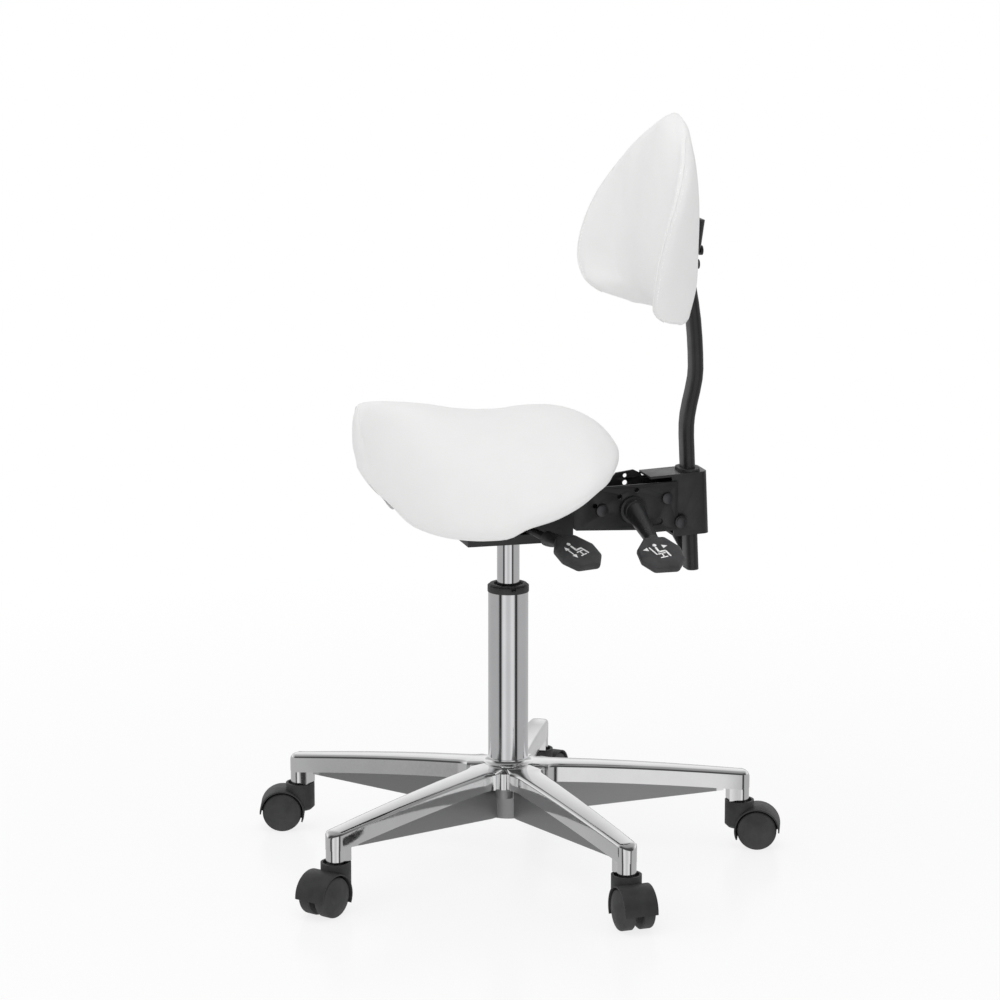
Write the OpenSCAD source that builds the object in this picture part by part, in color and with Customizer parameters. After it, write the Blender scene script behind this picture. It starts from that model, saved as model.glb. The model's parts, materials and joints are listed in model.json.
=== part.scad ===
// Saddle stool for a dental surgery: five-star base on twin-wheel casters, gas lift column,
// black steel mechanism with two side levers, saddle seat and a curved backrest on a flat-oval upright.
// Origin on the floor under the column. +Z up, the sitter faces -Y, +X is the sitter's left.

/* [Base] */
// Radius of the circle that the five caster stems stand on
stem_circle_r = 298.5; // [270:0.5:330]
// Height of the aluminium star at the column
star_top_z = 127; // [120:0.5:140]
// How much lower the arm's top is at its tip
arm_drop = 27; // [15:0.5:32]
// Depth of the arm's polished skirt
skirt_depth = 23; // [18:0.5:26]
// Half-width of an arm beside the hub
arm_root_half = 18; // [15:0.5:20]
// Half-width of an arm at its tip, and the radius of the leg that ends it
arm_tip_half = 12.5; // [11:0.5:14]
// Distance from the column axis to the rounded corner between two arms
crotch_r = 50; // [47:0.5:55]
// Underside of the leg at the arm's tip
leg_bottom_z = 62; // [61.8:0.1:66]
// Underside of the hub
hub_bottom_z = 59; // [54:0.5:60]
// Outer radius of the hub
hub_r = 28; // [27:0.5:32]
// Thickness of the web under each arm
rib_t = 13; // [8:0.5:18]
// Turn of the star about the column
base_turn = 12.6; // [0:0.1:72]

/* [Casters] */
// Wheel diameter
wheel_d = 50; // [44:0.5:51]
// Distance from the swivel axis back to the wheel axle
trail = 23; // [20:0.5:26]
// Gap between the two wheels of a caster
wheel_gap = 9; // [8:0.5:12]
// Width of one wheel's tread
tread_w = 15.5; // [12:0.5:17]
// How far a wheel's domed face stands out from its tread
wheel_dome = 4.5; // [2:0.5:6]
// Diameter of the wheel axle
axle_d = 6; // [4:0.5:8]
// Space between a wheel and the hood over it
hood_gap = 2; // [1.5:0.1:3]
// Wall of the hood
hood_wall = 1.8; // [1.5:0.1:2.5]
// Outer diameter of the caster's neck
neck_d = 37; // [35:0.5:40]
// Top of the caster's neck
neck_top_z = 61; // [60:0.1:61.5]
// Depth of the open recess in the neck
neck_recess = 4.5; // [3:0.5:5]
// Diameter of the stem where it sits in the arm
stem_d = 11; // [9:0.5:12]
// Diameter of the stem where the neck turns on it
stem_pivot_d = 8; // [7:0.5:9]
// How far the stem stands in the arm
stem_insert = 22; // [16:0.5:26]

/* [Gas lift] */
// Outer diameter of the column tube
column_d = 50; // [48:0.5:52]
// Wall of the column tube
column_wall = 1.5; // [1.2:0.1:2.5]
// Underside of the column tube
column_bottom_z = 60; // [59.5:0.5:62]
// Top of the column tube
column_top_z = 345; // [330:1:355]
// Height of the black cap on the column
cap_h = 10; // [6:0.5:14]
// How far the cap stands out past the column
cap_lip = 0.8; // [0.4:0.1:1.5]
// Length of the guide bush inside the column
bush_len = 80; // [60:1:110]
// Diameter of the lift's pressure cylinder
lift_d = 28; // [28:0.5:30]
// Wall of the pressure cylinder
lift_wall = 1.5; // [1.2:0.1:2]
// Underside of the pressure cylinder at rest
lift_bottom_z = 135; // [132:1:140]
// Piston rod diameter
rod_d = 10; // [8:0.5:12]
// Top of the piston rod
rod_top_z = 308; // [300:1:312]
// Length of the piston
piston_len = 16; // [10:1:20]
// Top of the pressure cylinder
lift_top_z = 424; // [422:0.5:424]
// Valve pin diameter
valve_d = 8; // [6:0.5:9]

/* [Mechanism] */
// Underside of the mechanism housing
housing_bottom_z = 412; // [410:0.5:414]
// Top of the mechanism housing
housing_top_z = 476; // [474:0.5:480]
// Half-width of the housing
housing_half_w = 40; // [36:0.5:46]
// Front end of the housing
housing_front_y = -62; // [-75:0.5:-50]
// Rear end of the housing
housing_rear_y = 72; // [68:0.5:73]
// Steel thickness of the housing
housing_wall = 2.5; // [2:0.1:3.5]
// Thickness of the seat plate
seat_plate_t = 4; // [3:0.5:6]
// Half-width of the seat plate
seat_plate_half_w = 78; // [70:1:82]
// Half-length of the seat plate
seat_plate_half_l = 88; // [80:1:92]
// Middle of the seat plate along the stool
seat_plate_y = -12; // [-20:1:-10]
// Half the distance between two seat bolts across the stool
bolt_half_x = 62; // [55:0.5:66]
// Half the distance between two seat bolts along the stool
bolt_half_y = 70; // [64:0.5:76]
// Diameter of the seat bolts
seat_bolt_d = 8; // [6:0.5:8]

/* [Back tilt] */
// Pivot of the back bracket, behind the column
tilt_pivot_y = 113; // [110:0.5:115]
// Pivot height
tilt_pivot_z = 446; // [443:0.5:448]
// Clamp bolt height
tilt_clamp_z = 445; // [443:0.5:447]
// Clamp bolt, behind the column
tilt_clamp_y = 153; // [150:0.5:156]
// Half-width over the bracket's side plates
bracket_half_w = 26.5; // [25:0.1:28]
// Thickness of a side plate
bracket_t = 3; // [2:0.1:3.5]
// Front end of the side plates
bracket_front_y = 76; // [75.5:0.5:80]
// Diameter of the pivot bolt and the clamp bolt
tilt_bolt_d = 10; // [8:0.5:10]
// Forward tilt the slot allows, degrees
tilt_forward = 5; // [2:0.5:6]
// Rearward tilt the slot allows, degrees
tilt_rearward = 12; // [5:0.5:14]
// Thickness of the slotted tongue
tongue_t = 4; // [3:0.5:5]

/* [Upright] */
// Lean of the holder and the upright's lower part, top forward, degrees
upright_lean = 2.6; // [0:0.1:4]
// Width of the flat-oval upright
upright_w = 30; // [26:0.5:32]
// Thickness of the flat-oval upright
upright_t = 15; // [13:0.5:16]
// Lower end of the upright, behind the column
upright_foot_y = 238; // [236:0.5:240]
// Lower end of the upright
upright_foot_z = 362; // [355:0.5:365]
// Length of the upright's straight part
upright_straight = 168; // [160:1:176]
// Underside of the holder
holder_bottom_z = 408; // [404:0.5:410]
// Top of the holder
holder_top_z = 487; // [484:0.5:490]
// Wall of the holder
holder_wall = 3; // [2:0.1:4]
// Depth of the holder, fore and aft
holder_depth = 46; // [42:0.5:48]
// Clamp bolt that holds the upright's height, height of its axis
height_clamp_z = 426; // [424:0.5:430]
// Slack between the upright and its liner
slide_gap = 0.3; // [0.2:0.05:0.5]

/* [Levers] */
// Droop of the height lever below level, degrees
height_lever_droop = 5; // [3:0.5:6]
// Sweep of the height lever to the rear, degrees
height_lever_sweep = 17; // [14:0.5:20]
// Height of the height lever's pivot
height_lever_z = 433; // [432.8:0.1:436]
// Distance from the valve to the height lever's pivot
height_lever_arm = 30; // [27:0.5:31]
// Reach of the height lever from its pivot to its paddle's centre
height_lever_reach = 124; // [110:1:130]
// Thickness of the height lever's steel rod
lever_rod_d = 10; // [8:0.5:11]
// Droop of the tilt lever below level, degrees
tilt_lever_droop = 17.5; // [10:0.5:20]
// Reach of the tilt lever from the bracket to its paddle's centre
tilt_lever_reach = 118; // [105:1:130]
// Droop of a paddle's face, degrees
paddle_droop = 26; // [22:0.5:28]
// Width of a paddle
paddle_w = 56; // [48:0.5:60]
// Length of a paddle
paddle_l = 62; // [56:0.5:66]
// Thickness of a paddle
paddle_t = 9; // [8:0.5:11]

/* [Seat] */
// Height of the saddle's middle
seat_top_z = 573; // [568:0.5:580]
// How far the nose rises above the middle
nose_rise = 18; // [10:0.5:24]
// Front end of the nose
seat_front_y = -191; // [-200:1:-185]
// Rear end of the seat on its middle line
seat_rear_y = 126; // [118:1:134]
// Half-width of the seat where it is widest
seat_half_w = 188; // [175:1:200]
// Lowest edge of the side flaps
flap_z = 437; // [434:0.5:446]

/* [Backrest] */
// Top of the backrest
back_top_z = 932; // [915:1:945]
// Bottom of the backrest
back_bottom_z = 698; // [690:1:705]
// Half-width of the backrest where it is widest
back_half_w = 163; // [150:1:175]
// Rear face of the backrest on its middle line
back_rear_y = 221; // [215:0.5:221]
// How far the wings come forward
wing_forward = 72; // [50:1:90]
// Padding thickness in the middle
back_pad_t = 46; // [36:1:55]

/* [Hidden] */
ARMS = 5;

// Running clearance on a shaft, and the gap between faces that only pass each other
run_gap = 0.05;
free_gap = 0.3;
fine = 64;
soft = 32;

// ---- Derived sizes ----
arm_step = 360 / ARMS;
half_step = arm_step / 2;
arm_tip_z = star_top_z - arm_drop;
tip_round = 9;
edge_round = 4.5;
wheel_r = wheel_d / 2;
wheel_in = wheel_gap / 2;
wheel_out = wheel_in + tread_w;
hood_in_r = wheel_r + hood_gap;
hood_out_r = hood_in_r + hood_wall;
web_half = wheel_in - 1;
stem_low_z = wheel_r + sqrt(pow(hood_in_r, 2) - pow(trail - stem_pivot_d / 2, 2)) + 1;
caster_turns = [-8.6, -15.6, -16.6, 26.4, 7.4];
column_r = column_d / 2;
column_in_r = column_r - column_wall;
lift_r = lift_d / 2;
lift_in_r = lift_r - lift_wall;
rod_r = rod_d / 2;
plate_z = column_bottom_z + 4;
plate_t = 4;
clip_t = 1;
clip_z = plate_z - clip_t - 0.2;
bearing_t = 5;
collar_t = 3;
collar_z = plate_z + plate_t + bearing_t;
bush_z = column_top_z - bush_len;
lift_head = 12;
valve_top_z = height_lever_z + height_lever_arm * tan(height_lever_droop)
  - lever_rod_d / 2 / cos(height_lever_droop) - 0.5;
socket_r = lift_r + 5;
seat_plate_z = housing_top_z;
shell_z = seat_plate_z + seat_plate_t + free_gap;
tilt_r = tilt_bolt_d / 2;
tilt_arm = norm([tilt_clamp_y - tilt_pivot_y, tilt_clamp_z - tilt_pivot_z]);
bracket_in = bracket_half_w - bracket_t;
bracket_rear_y = upright_foot_y - holder_depth / 2 - 3;
holder_half = bracket_in - 0.1;
height_clamp_y = upright_foot_y - holder_depth / 2 + 1;
rear_bolt_y = height_clamp_y - 18;
rear_bolt_z = height_clamp_z + 31;
lug_in = 16;
tongue_r = tilt_arm + tilt_r + 10;

// ---- Shared shapes ----
module rod(r, h) {
  cylinder(h = h, r = r, $fn = fine);
}

module tube(r_out, r_in, h) {
  difference() {
    rod(r_out, h);
    translate([0, 0, -1]) rod(r_in, h + 2);
  }
}

// A cylinder along X from x0 to x1
module rod_x(r, x0, x1) {
  translate([x0, 0, 0]) rotate([0, 90, 0]) rod(r, x1 - x0);
}

// A cylinder along Y from y0 to y1
module rod_y(r, y0, y1) {
  translate([0, y0, 0]) rotate([-90, 0, 0]) rod(r, y1 - y0);
}

// A block centred on X, from y0 to y1 and z0 to z1
module block(half_w, y0, y1, z0, z1) {
  translate([-half_w, y0, z0]) cube([2 * half_w, y1 - y0, z1 - z0]);
}

// A plate in the YZ plane, from x0 to x1
module side_plate(x0, x1) {
  translate([x0, 0, 0]) rotate([90, 0, 90]) linear_extrude(x1 - x0) children();
}

module at_arm(i) {
  rotate([0, 0, base_turn + i * arm_step]) children();
}

module at_caster(i) {
  at_arm(i) translate([stem_circle_r, 0, 0]) rotate([0, 0, caster_turns[i]]) children();
}

// Rings of points, all with the same count, joined into one closed solid
module loft(rings) {
  n = len(rings[0]);
  m = len(rings);
  points = [for (ring = rings) each ring];
  sides = [for (i = [0:m - 2]) for (j = [0:n - 1]) let (k = (j + 1) % n)
    each [[i * n + j, i * n + k, (i + 1) * n + k], [i * n + j, (i + 1) * n + k, (i + 1) * n + j]]];
  first = [for (j = [n - 1:-1:0]) j];
  last = [for (j = [0:n - 1]) (m - 1) * n + j];
  polyhedron(points, concat(sides, [first, last]));
}

// The same for curved slabs: a ring is one row of points out and one row back, and the ends are closed in strips
module slab_loft(rings) {
  n = len(rings[0]);
  m = len(rings);
  top = (m - 1) * n;
  points = [for (ring = rings) each ring];
  sides = [for (i = [0:m - 2]) for (j = [0:n - 1]) let (k = (j + 1) % n)
    each [[i * n + j, i * n + k, (i + 1) * n + k], [i * n + j, (i + 1) * n + k, (i + 1) * n + j]]];
  ends = [for (j = [0:n / 2 - 2]) let (a = j, b = j + 1, c = n - 2 - j, d = n - 1 - j)
    each [[c, b, a], [d, c, a], [top + a, top + b, top + c], [top + a, top + c, top + d]]];
  polyhedron(points, concat(sides, ends));
}

function mix(a, b, t) = a + (b - a) * t;
function clamp01(t) = min(1, max(0, t));
function ease(t) = let (c = clamp01(t)) c * c * (3 - 2 * c);

// ---- Base ----
// The corner between two arms is an arc that touches both of them
crotch_arc_r = (crotch_r * sin(half_step) - arm_root_half) / (1 - sin(half_step));
crotch_centre_r = crotch_r + crotch_arc_r;
crotch_cx = crotch_centre_r * cos(half_step);
crotch_cy = crotch_centre_r * sin(half_step);

function arm_top(r) = star_top_z - arm_drop * pow(min(r, stem_circle_r) / stem_circle_r, 1.4);
function arm_edge(r) = mix(arm_root_half, arm_tip_half, clamp01((r - crotch_cx) / (stem_circle_r - crotch_cx)));
function arm_half(r) =
  r > stem_circle_r ? sqrt(max(0, pow(arm_tip_half, 2) - pow(r - stem_circle_r, 2))) :
  r > crotch_cx ? arm_edge(r) :
  min(r * tan(half_step) + 0.4,
      r < crotch_cx - crotch_arc_r * sin(half_step) ? r :
      crotch_cy - sqrt(pow(crotch_arc_r, 2) - pow(r - crotch_cx, 2)));
function tip_fall(r) = let (d = r - (stem_circle_r + arm_tip_half - tip_round))
  d > 0 ? tip_round - sqrt(max(0, pow(tip_round, 2) - d * d)) : 0;

// Section of an arm at radius r: square skirt below, rounded edges above
function arm_section(r) = let (
    w = max(arm_half(r), 0.5),
    top = arm_top(r) - tip_fall(r),
    e = min(edge_round, w * 0.8),
    low = arm_top(r) - skirt_depth)
  concat(
    [[r, -w, low]],
    [for (a = [0:30:90]) [r, -w + e - e * cos(a), top - e + e * sin(a)]],
    [[r, 0, top + 0.4]],
    [for (a = [90:-30:0]) [r, w - e + e * cos(a), top - e + e * sin(a)]],
    [[r, w, low]]);

arm_stations = concat(
  [24], [for (t = [0:0.1:1]) mix(crotch_cx - crotch_arc_r * sin(half_step), crotch_cx, t)],
  [for (t = [0.2:0.2:1]) mix(crotch_cx, stem_circle_r, t)],
  [for (a = [20:20:80]) stem_circle_r + arm_tip_half * sin(a)],
  [stem_circle_r + arm_tip_half - 0.05]);

module arm_beam() {
  loft([for (r = arm_stations) arm_section(r)]);
}

module arm_rib() {
  root = hub_r - 1.5;
  rotate([90, 0, 0]) translate([0, 0, -rib_t / 2]) linear_extrude(rib_t) polygon([
    [root, hub_bottom_z + 0.5],
    [hub_r + 8, hub_bottom_z + 0.5],
    [stem_circle_r - arm_tip_half - 10, leg_bottom_z + 14],
    [stem_circle_r - arm_tip_half - 10, arm_tip_z - skirt_depth / 2],
    [root, star_top_z - skirt_depth / 2]]);
}

module arm_leg() {
  translate([stem_circle_r, 0, leg_bottom_z])
    rod(arm_tip_half - 0.4, arm_tip_z - tip_round - leg_bottom_z);
  translate([stem_circle_r - arm_tip_half - 3, -arm_tip_half + 1.5, leg_bottom_z])
    cube([arm_tip_half + 3, 2 * arm_tip_half - 3, arm_tip_z - edge_round - leg_bottom_z - 2]);
}

// Round pad under the corner between two arms
module crotch_boss() {
  rotate([0, 0, half_step]) translate([crotch_r - 12, 0, hub_bottom_z + 31])
    rod(11, star_top_z - hub_bottom_z - 36);
}

module column_fillet() {
  rise = 6;
  rotate_extrude($fn = fine) polygon(concat(
    [[column_r, star_top_z - 5]],
    [[column_r + rise, star_top_z - 5]],
    [for (a = [270:-15:180]) [column_r + rise + rise * cos(a) * 0.85, star_top_z + rise + rise * sin(a)]],
    [[column_r, star_top_z + rise]]));
}

module star_base() {
  color("silver") difference() {
    union() {
      for (i = [0:ARMS - 1]) at_arm(i) {
        arm_beam();
        arm_rib();
        arm_leg();
        crotch_boss();
      }
      translate([0, 0, hub_bottom_z]) rod(hub_r, star_top_z - hub_bottom_z - 8);
      column_fillet();
    }
    translate([0, 0, hub_bottom_z - 1]) rod(column_r, star_top_z);
    for (i = [0:ARMS - 1]) at_arm(i)
      translate([stem_circle_r, 0, leg_bottom_z - 1]) rod(stem_d / 2, stem_insert + 2);
  }
}

module column_tube() {
  color("gainsboro") difference() {
    translate([0, 0, column_bottom_z]) rod(column_r, column_top_z - column_bottom_z);
    translate([0, 0, plate_z + plate_t]) rod(column_in_r, column_top_z);
    translate([0, 0, column_bottom_z - 1]) rod(column_in_r - 3, plate_z - column_bottom_z + 1);
    translate([0, 0, column_bottom_z - 1]) rod(rod_r + run_gap, 20);
  }
}

module column_cap() {
  color("black") translate([0, 0, column_top_z]) difference() {
    union() {
      rod(column_r + cap_lip, cap_h - 2);
      rod(column_r - 1.5, cap_h);
    }
    translate([0, 0, -1]) rod(lift_r + free_gap, cap_h + 2);
    translate([0, 0, cap_h - 3]) rod(lift_r + 4, 4);
    // small slot in the rim
    translate([column_r - 4, -3, cap_h - 5]) cube([8, 6, 4]);
  }
}

module guide_bush() {
  color("dimgray") translate([0, 0, bush_z]) tube(column_in_r, lift_r + run_gap, bush_len);
}

module thrust_bearing() {
  color("lightgray") translate([0, 0, plate_z + plate_t]) tube(14, rod_r + 1, bearing_t);
}

module caster_stems() {
  for (i = [0:ARMS - 1]) at_arm(i) translate([stem_circle_r, 0, 0]) color("lightgray") {
    translate([0, 0, leg_bottom_z]) rod(stem_d / 2, stem_insert);
    translate([0, 0, neck_top_z - 2.5]) rod(stem_d / 2 + 2, leg_bottom_z - neck_top_z + 2.5);
    translate([0, 0, stem_low_z]) rod(stem_pivot_d / 2, neck_top_z - stem_low_z);
  }
}

// ---- Gas lift ----
module piston_rod() {
  color("lightgray") {
    translate([0, 0, column_bottom_z + 1]) rod(rod_r - 1, 5);
    translate([0, 0, column_bottom_z + 1]) rod(rod_r, clip_z - column_bottom_z - 1);
    translate([0, 0, clip_z + clip_t]) rod(rod_r, rod_top_z - clip_z - clip_t);
    translate([0, 0, collar_z]) rod(rod_r + 4, collar_t);
  }
}

module retaining_clip() {
  color("silver") translate([0, 0, clip_z]) tube(rod_r + 3, rod_r - 1, clip_t);
}

module rubber_buffer() {
  color("black") translate([0, 0, collar_z + collar_t]) tube(rod_r + 6, rod_r, 12);
}

module piston() {
  color("dimgray") translate([0, 0, rod_top_z - piston_len - 2]) tube(lift_in_r - run_gap, rod_r, piston_len);
}

module gas_cylinder() {
  color("gainsboro") difference() {
    translate([0, 0, lift_bottom_z]) rod(lift_r, lift_top_z - lift_bottom_z);
    translate([0, 0, lift_bottom_z - 1]) rod(lift_in_r, lift_top_z - lift_bottom_z - lift_head + 1);
    rod(valve_d / 2 + run_gap, lift_top_z + 1);
  }
}

module rod_gland() {
  color("dimgray") translate([0, 0, lift_bottom_z + 1]) tube(lift_in_r, rod_r + run_gap, 14);
}

module lift_socket() {
  color("gray") translate([0, 0, housing_bottom_z + housing_wall])
    tube(socket_r, lift_r, lift_top_z - housing_bottom_z - housing_wall - 1);
}

module valve_pin() {
  color("silver") {
    translate([0, 0, lift_top_z - lift_head + 3]) rod(valve_d / 2, lift_head - 1);
    translate([0, 0, lift_top_z]) rod(valve_d / 2 - 1.5, valve_top_z - lift_top_z);
  }
}

// ---- Casters ----
function fan(r, a0, a1) = concat([[0, 0]], [for (t = [0:0.125:1]) let (a = mix(a0, a1, t)) [r * cos(a), r * sin(a)]]);

// The open side of the hood: everything below its two ends, seen from the side
module hood_mouth() {
  front_end = -3;
  rear_end = -155;
  rotate([90, 0, 0]) translate([0, 0, -neck_d]) linear_extrude(2 * neck_d)
    polygon(fan(2 * hood_out_r, rear_end, front_end));
}

module caster_hood(i) {
  neck_low_z = wheel_r + 1;
  neck_r = neck_d / 2;
  half = wheel_out + 1;
  color("#262626") at_caster(i) difference() {
    union() {
      difference() {
        union() {
          translate([0, 0, neck_low_z]) cylinder(h = 4, r1 = neck_r - 4, r2 = neck_r, $fn = fine);
          translate([0, 0, neck_low_z + 4]) rod(neck_r, neck_top_z - neck_low_z - 4);
          translate([trail, 0, wheel_r]) rod_y(hood_out_r, -half, half);
        }
        translate([trail, 0, wheel_r]) {
          rod_y(hood_in_r, web_half, 2 * half);
          rod_y(hood_in_r, -2 * half, -web_half);
          hood_mouth();
        }
      }
      translate([trail, 0, wheel_r]) rod_y(axle_d / 2 + 4, -web_half, web_half);
    }
    translate([0, 0, stem_low_z - 0.3]) rod(stem_pivot_d / 2 + run_gap, neck_top_z);
    translate([0, 0, neck_top_z - neck_recess]) rod(neck_r - 3, neck_recess + 1);
    translate([trail, 0, wheel_r]) rod_y(axle_d / 2, -neck_d, neck_d);
  }
}

module caster_axle(i) {
  color("silver") at_caster(i) translate([trail, 0, wheel_r])
    rod_y(axle_d / 2, -wheel_out + 3, wheel_out - 3);
}

// Half a section through a wheel: radius across, distance from the caster's middle up
wheel_section = let (bore = axle_d / 2 + run_gap, lip = 3) concat(
  [[bore, wheel_in], [wheel_r - 1.5, wheel_in], [wheel_r, wheel_in + 1.5], [wheel_r, wheel_out - lip]],
  [for (a = [22.5:22.5:90]) [wheel_r - lip + lip * cos(a), wheel_out - lip + lip * sin(a)]],
  [for (t = [0.8:-0.2:0]) [(wheel_r - lip) * t, wheel_out + wheel_dome * (1 - t * t)]],
  [[0, wheel_out - 2.5], [bore, wheel_out - 2.5]]);

module caster_wheel(i, side) {
  color("#303030") at_caster(i) translate([trail, 0, wheel_r])
    rotate([side > 0 ? -90 : 90, 0, 0]) rotate_extrude($fn = fine) polygon(wheel_section);
}

// ---- Mechanism ----
module at_height_lever() {
  rotate([0, 0, height_lever_sweep]) translate([height_lever_arm, 0, height_lever_z]) children();
}

module at_tilt_pivot() {
  translate([0, tilt_pivot_y, tilt_pivot_z]) children();
}

module at_tilt_clamp() {
  translate([0, tilt_clamp_y, tilt_clamp_z]) children();
}

lug_r = tilt_r + 8;
lever_boss_half = lever_rod_d / 2 + 1;
lever_pin_d = 6;
ear_t = 3;
lever_rod_end = height_lever_reach - paddle_l / 2 + 8;

// Tongue and lugs share this outline back to the housing's rear wall
module lug_outline(r) {
  translate([tilt_pivot_y, tilt_pivot_z]) circle(r, $fn = fine);
  translate([housing_rear_y - 1, tilt_pivot_z - lug_r]) square([tilt_pivot_y - housing_rear_y + 1, 2 * lug_r]);
}

module tilt_slot() {
  slot_half = tilt_r + 0.3;
  rest = atan2(tilt_clamp_z - tilt_pivot_z, tilt_clamp_y - tilt_pivot_y);
  low = rest - tilt_rearward - 1;
  high = rest + tilt_forward + 1;
  steps = [0:1 / 16:1];
  translate([tilt_pivot_y, tilt_pivot_z]) polygon(concat(
    [for (t = steps) let (a = mix(low, high, t)) (tilt_arm + slot_half) * [cos(a), sin(a)]],
    [for (t = [1 / 16:1 / 16:15 / 16]) let (a = high + 180 * t)
      tilt_arm * [cos(high), sin(high)] + slot_half * [cos(a), sin(a)]],
    [for (t = steps) let (a = mix(high, low, t)) (tilt_arm - slot_half) * [cos(a), sin(a)]],
    [for (t = [1 / 16:1 / 16:15 / 16]) let (a = low + 180 + 180 * t)
      tilt_arm * [cos(low), sin(low)] + slot_half * [cos(a), sin(a)]]));
}

module tilt_tongue() {
  difference() {
    side_plate(-tongue_t / 2, tongue_t / 2) difference() {
      union() {
        lug_outline(lug_r);
        intersection() {
          translate([tilt_pivot_y, tilt_pivot_z]) circle(tongue_r, $fn = fine);
          translate([tilt_pivot_y, tilt_pivot_z]) polygon(fan(3 * tongue_r, -30, 24));
        }
      }
      tilt_slot();
    }
    at_tilt_pivot() rod_x(tilt_r + run_gap, -tongue_t, tongue_t);
  }
}

module tilt_lugs() {
  for (s = [-1, 1]) difference() {
    side_plate(s > 0 ? lug_in : -lug_in - bracket_t, s > 0 ? lug_in + bracket_t : -lug_in) lug_outline(lug_r);
    at_tilt_pivot() rod_x(tilt_r + run_gap, -bracket_half_w, bracket_half_w);
  }
}

module lever_ears() {
  at_height_lever() for (s = [-1, 1]) difference() {
    translate([-7, s > 0 ? lever_boss_half + free_gap : -lever_boss_half - free_gap - ear_t,
               housing_bottom_z + 1 - height_lever_z])
      cube([14, ear_t, height_lever_z - housing_bottom_z + 5]);
    rod_y(lever_pin_d / 2, -20, 20);
  }
}

module mechanism_housing() {
  in_w = housing_half_w - housing_wall;
  color("#1c1c1e") {
    difference() {
      block(housing_half_w, housing_front_y, housing_rear_y, housing_bottom_z, housing_top_z);
      block(in_w, housing_front_y + housing_wall, housing_rear_y - housing_wall,
            housing_bottom_z + housing_wall, housing_top_z + 1);
      translate([0, 0, housing_bottom_z - 1]) rod(lift_r, housing_wall + 2);
      // opening for the height lever, tall enough for its travel
      at_height_lever() translate([0, -lever_rod_d / 2 - 3, -lever_rod_d / 2 - 4])
        cube([2 * height_lever_arm, lever_rod_d + 6, lever_rod_d + 8]);
    }
    tilt_tongue();
    tilt_lugs();
    lever_ears();
  }
}

module at_seat_bolts() {
  for (x = [-bolt_half_x, bolt_half_x]) for (y = [-bolt_half_y, bolt_half_y])
    translate([x, seat_plate_y + y, seat_plate_z]) children();
}

module seat_plate() {
  color("#1c1c1e") difference() {
    block(seat_plate_half_w, seat_plate_y - seat_plate_half_l, seat_plate_y + seat_plate_half_l,
          seat_plate_z, seat_plate_z + seat_plate_t);
    at_seat_bolts() translate([0, 0, -1]) rod(seat_bolt_d / 2, seat_plate_t + 2);
  }
}

module seat_bolts() {
  color("silver") at_seat_bolts() {
    translate([0, 0, -5]) rod(seat_bolt_d / 2 + 2.5, 5);
    translate([0, 0, -1]) rod(seat_bolt_d / 2, seat_plate_t + shell_t);
  }
}

module height_lever_pin() {
  color("silver") at_height_lever() rod_y(lever_pin_d / 2, -lever_boss_half - ear_t - 2, lever_boss_half + ear_t + 2);
}

module height_lever_rod() {
  color("black") at_height_lever() difference() {
    union() {
      rotate([0, height_lever_droop, 0]) rod_x(lever_rod_d / 2, -height_lever_arm - 5, lever_rod_end);
      rod_y(lever_pin_d / 2 + 4, -lever_boss_half, lever_boss_half);
    }
    rod_y(lever_pin_d / 2 + run_gap, -20, 20);
  }
}

// Paddle: a rounded six-sided plate that narrows to the lever, its middle at the origin, drooping along +X
module paddle() {
  blunt = 5;
  long = paddle_l / 2 - blunt;
  wide = paddle_w / 2 - blunt;
  rotate([0, paddle_droop, 0]) translate([0, 0, -paddle_t / 2]) hull() {
    translate([-long, 0, 0]) cylinder(h = paddle_t, r = blunt + 3, $fn = soft);
    for (s = [-1, 1]) {
      translate([-long * 0.35, s * wide, 0]) cylinder(h = paddle_t, r = blunt, $fn = soft);
      translate([long * 0.45, s * wide, 0]) cylinder(h = paddle_t, r = blunt, $fn = soft);
      translate([long, s * wide * 0.5, 0]) cylinder(h = paddle_t, r = blunt, $fn = soft);
    }
  }
}

module height_lever_paddle() {
  grip = 34;
  color("#3a3a3c") at_height_lever() difference() {
    rotate([0, height_lever_droop, 0]) union() {
      translate([height_lever_reach, 0, 0]) rotate([0, -height_lever_droop, 0]) paddle();
      translate([height_lever_reach - paddle_l / 2 - grip, 0, 0]) rotate([0, 90, 0])
        cylinder(h = grip + 14, r1 = lever_rod_d / 2 + 5, r2 = paddle_t / 2 + 1.5, $fn = fine);
    }
    rotate([0, height_lever_droop, 0]) rod_x(lever_rod_d / 2, -height_lever_arm, lever_rod_end);
  }
}

// ---- Back bracket ----
module bracket_outline() {
  z_top = tilt_pivot_z + 29;
  z_low = tilt_pivot_z - 24;
  polygon([
    [bracket_front_y, z_low + 3],
    [bracket_front_y + 4, z_low],
    [bracket_rear_y - 2, z_low - 6],
    [bracket_rear_y, z_low - 4],
    [bracket_rear_y, z_top + 2.5],
    [bracket_front_y + 19, z_top],
    [bracket_front_y, tilt_pivot_z + 9]]);
}

module bracket_holes() {
  translate([tilt_pivot_y, tilt_pivot_z]) circle(tilt_r, $fn = fine);
  translate([tilt_clamp_y, tilt_clamp_z]) circle(tilt_r, $fn = fine);
  translate([rear_bolt_y, rear_bolt_z]) circle(height_bolt_d / 2, $fn = fine);
  translate([height_clamp_y, height_clamp_z]) circle(height_bolt_d / 2, $fn = fine);
  // lightening holes, and the slot beside the pivot
  for (p = [[23, 16], [45, 23]]) translate([tilt_pivot_y + p[0], tilt_pivot_z + p[1]]) circle(3.2, $fn = fine);
  translate([tilt_pivot_y + 75, tilt_pivot_z - 18]) circle(4, $fn = fine);
  translate([tilt_pivot_y - 9, tilt_pivot_z + 6]) circle(3, $fn = fine);
}

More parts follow.
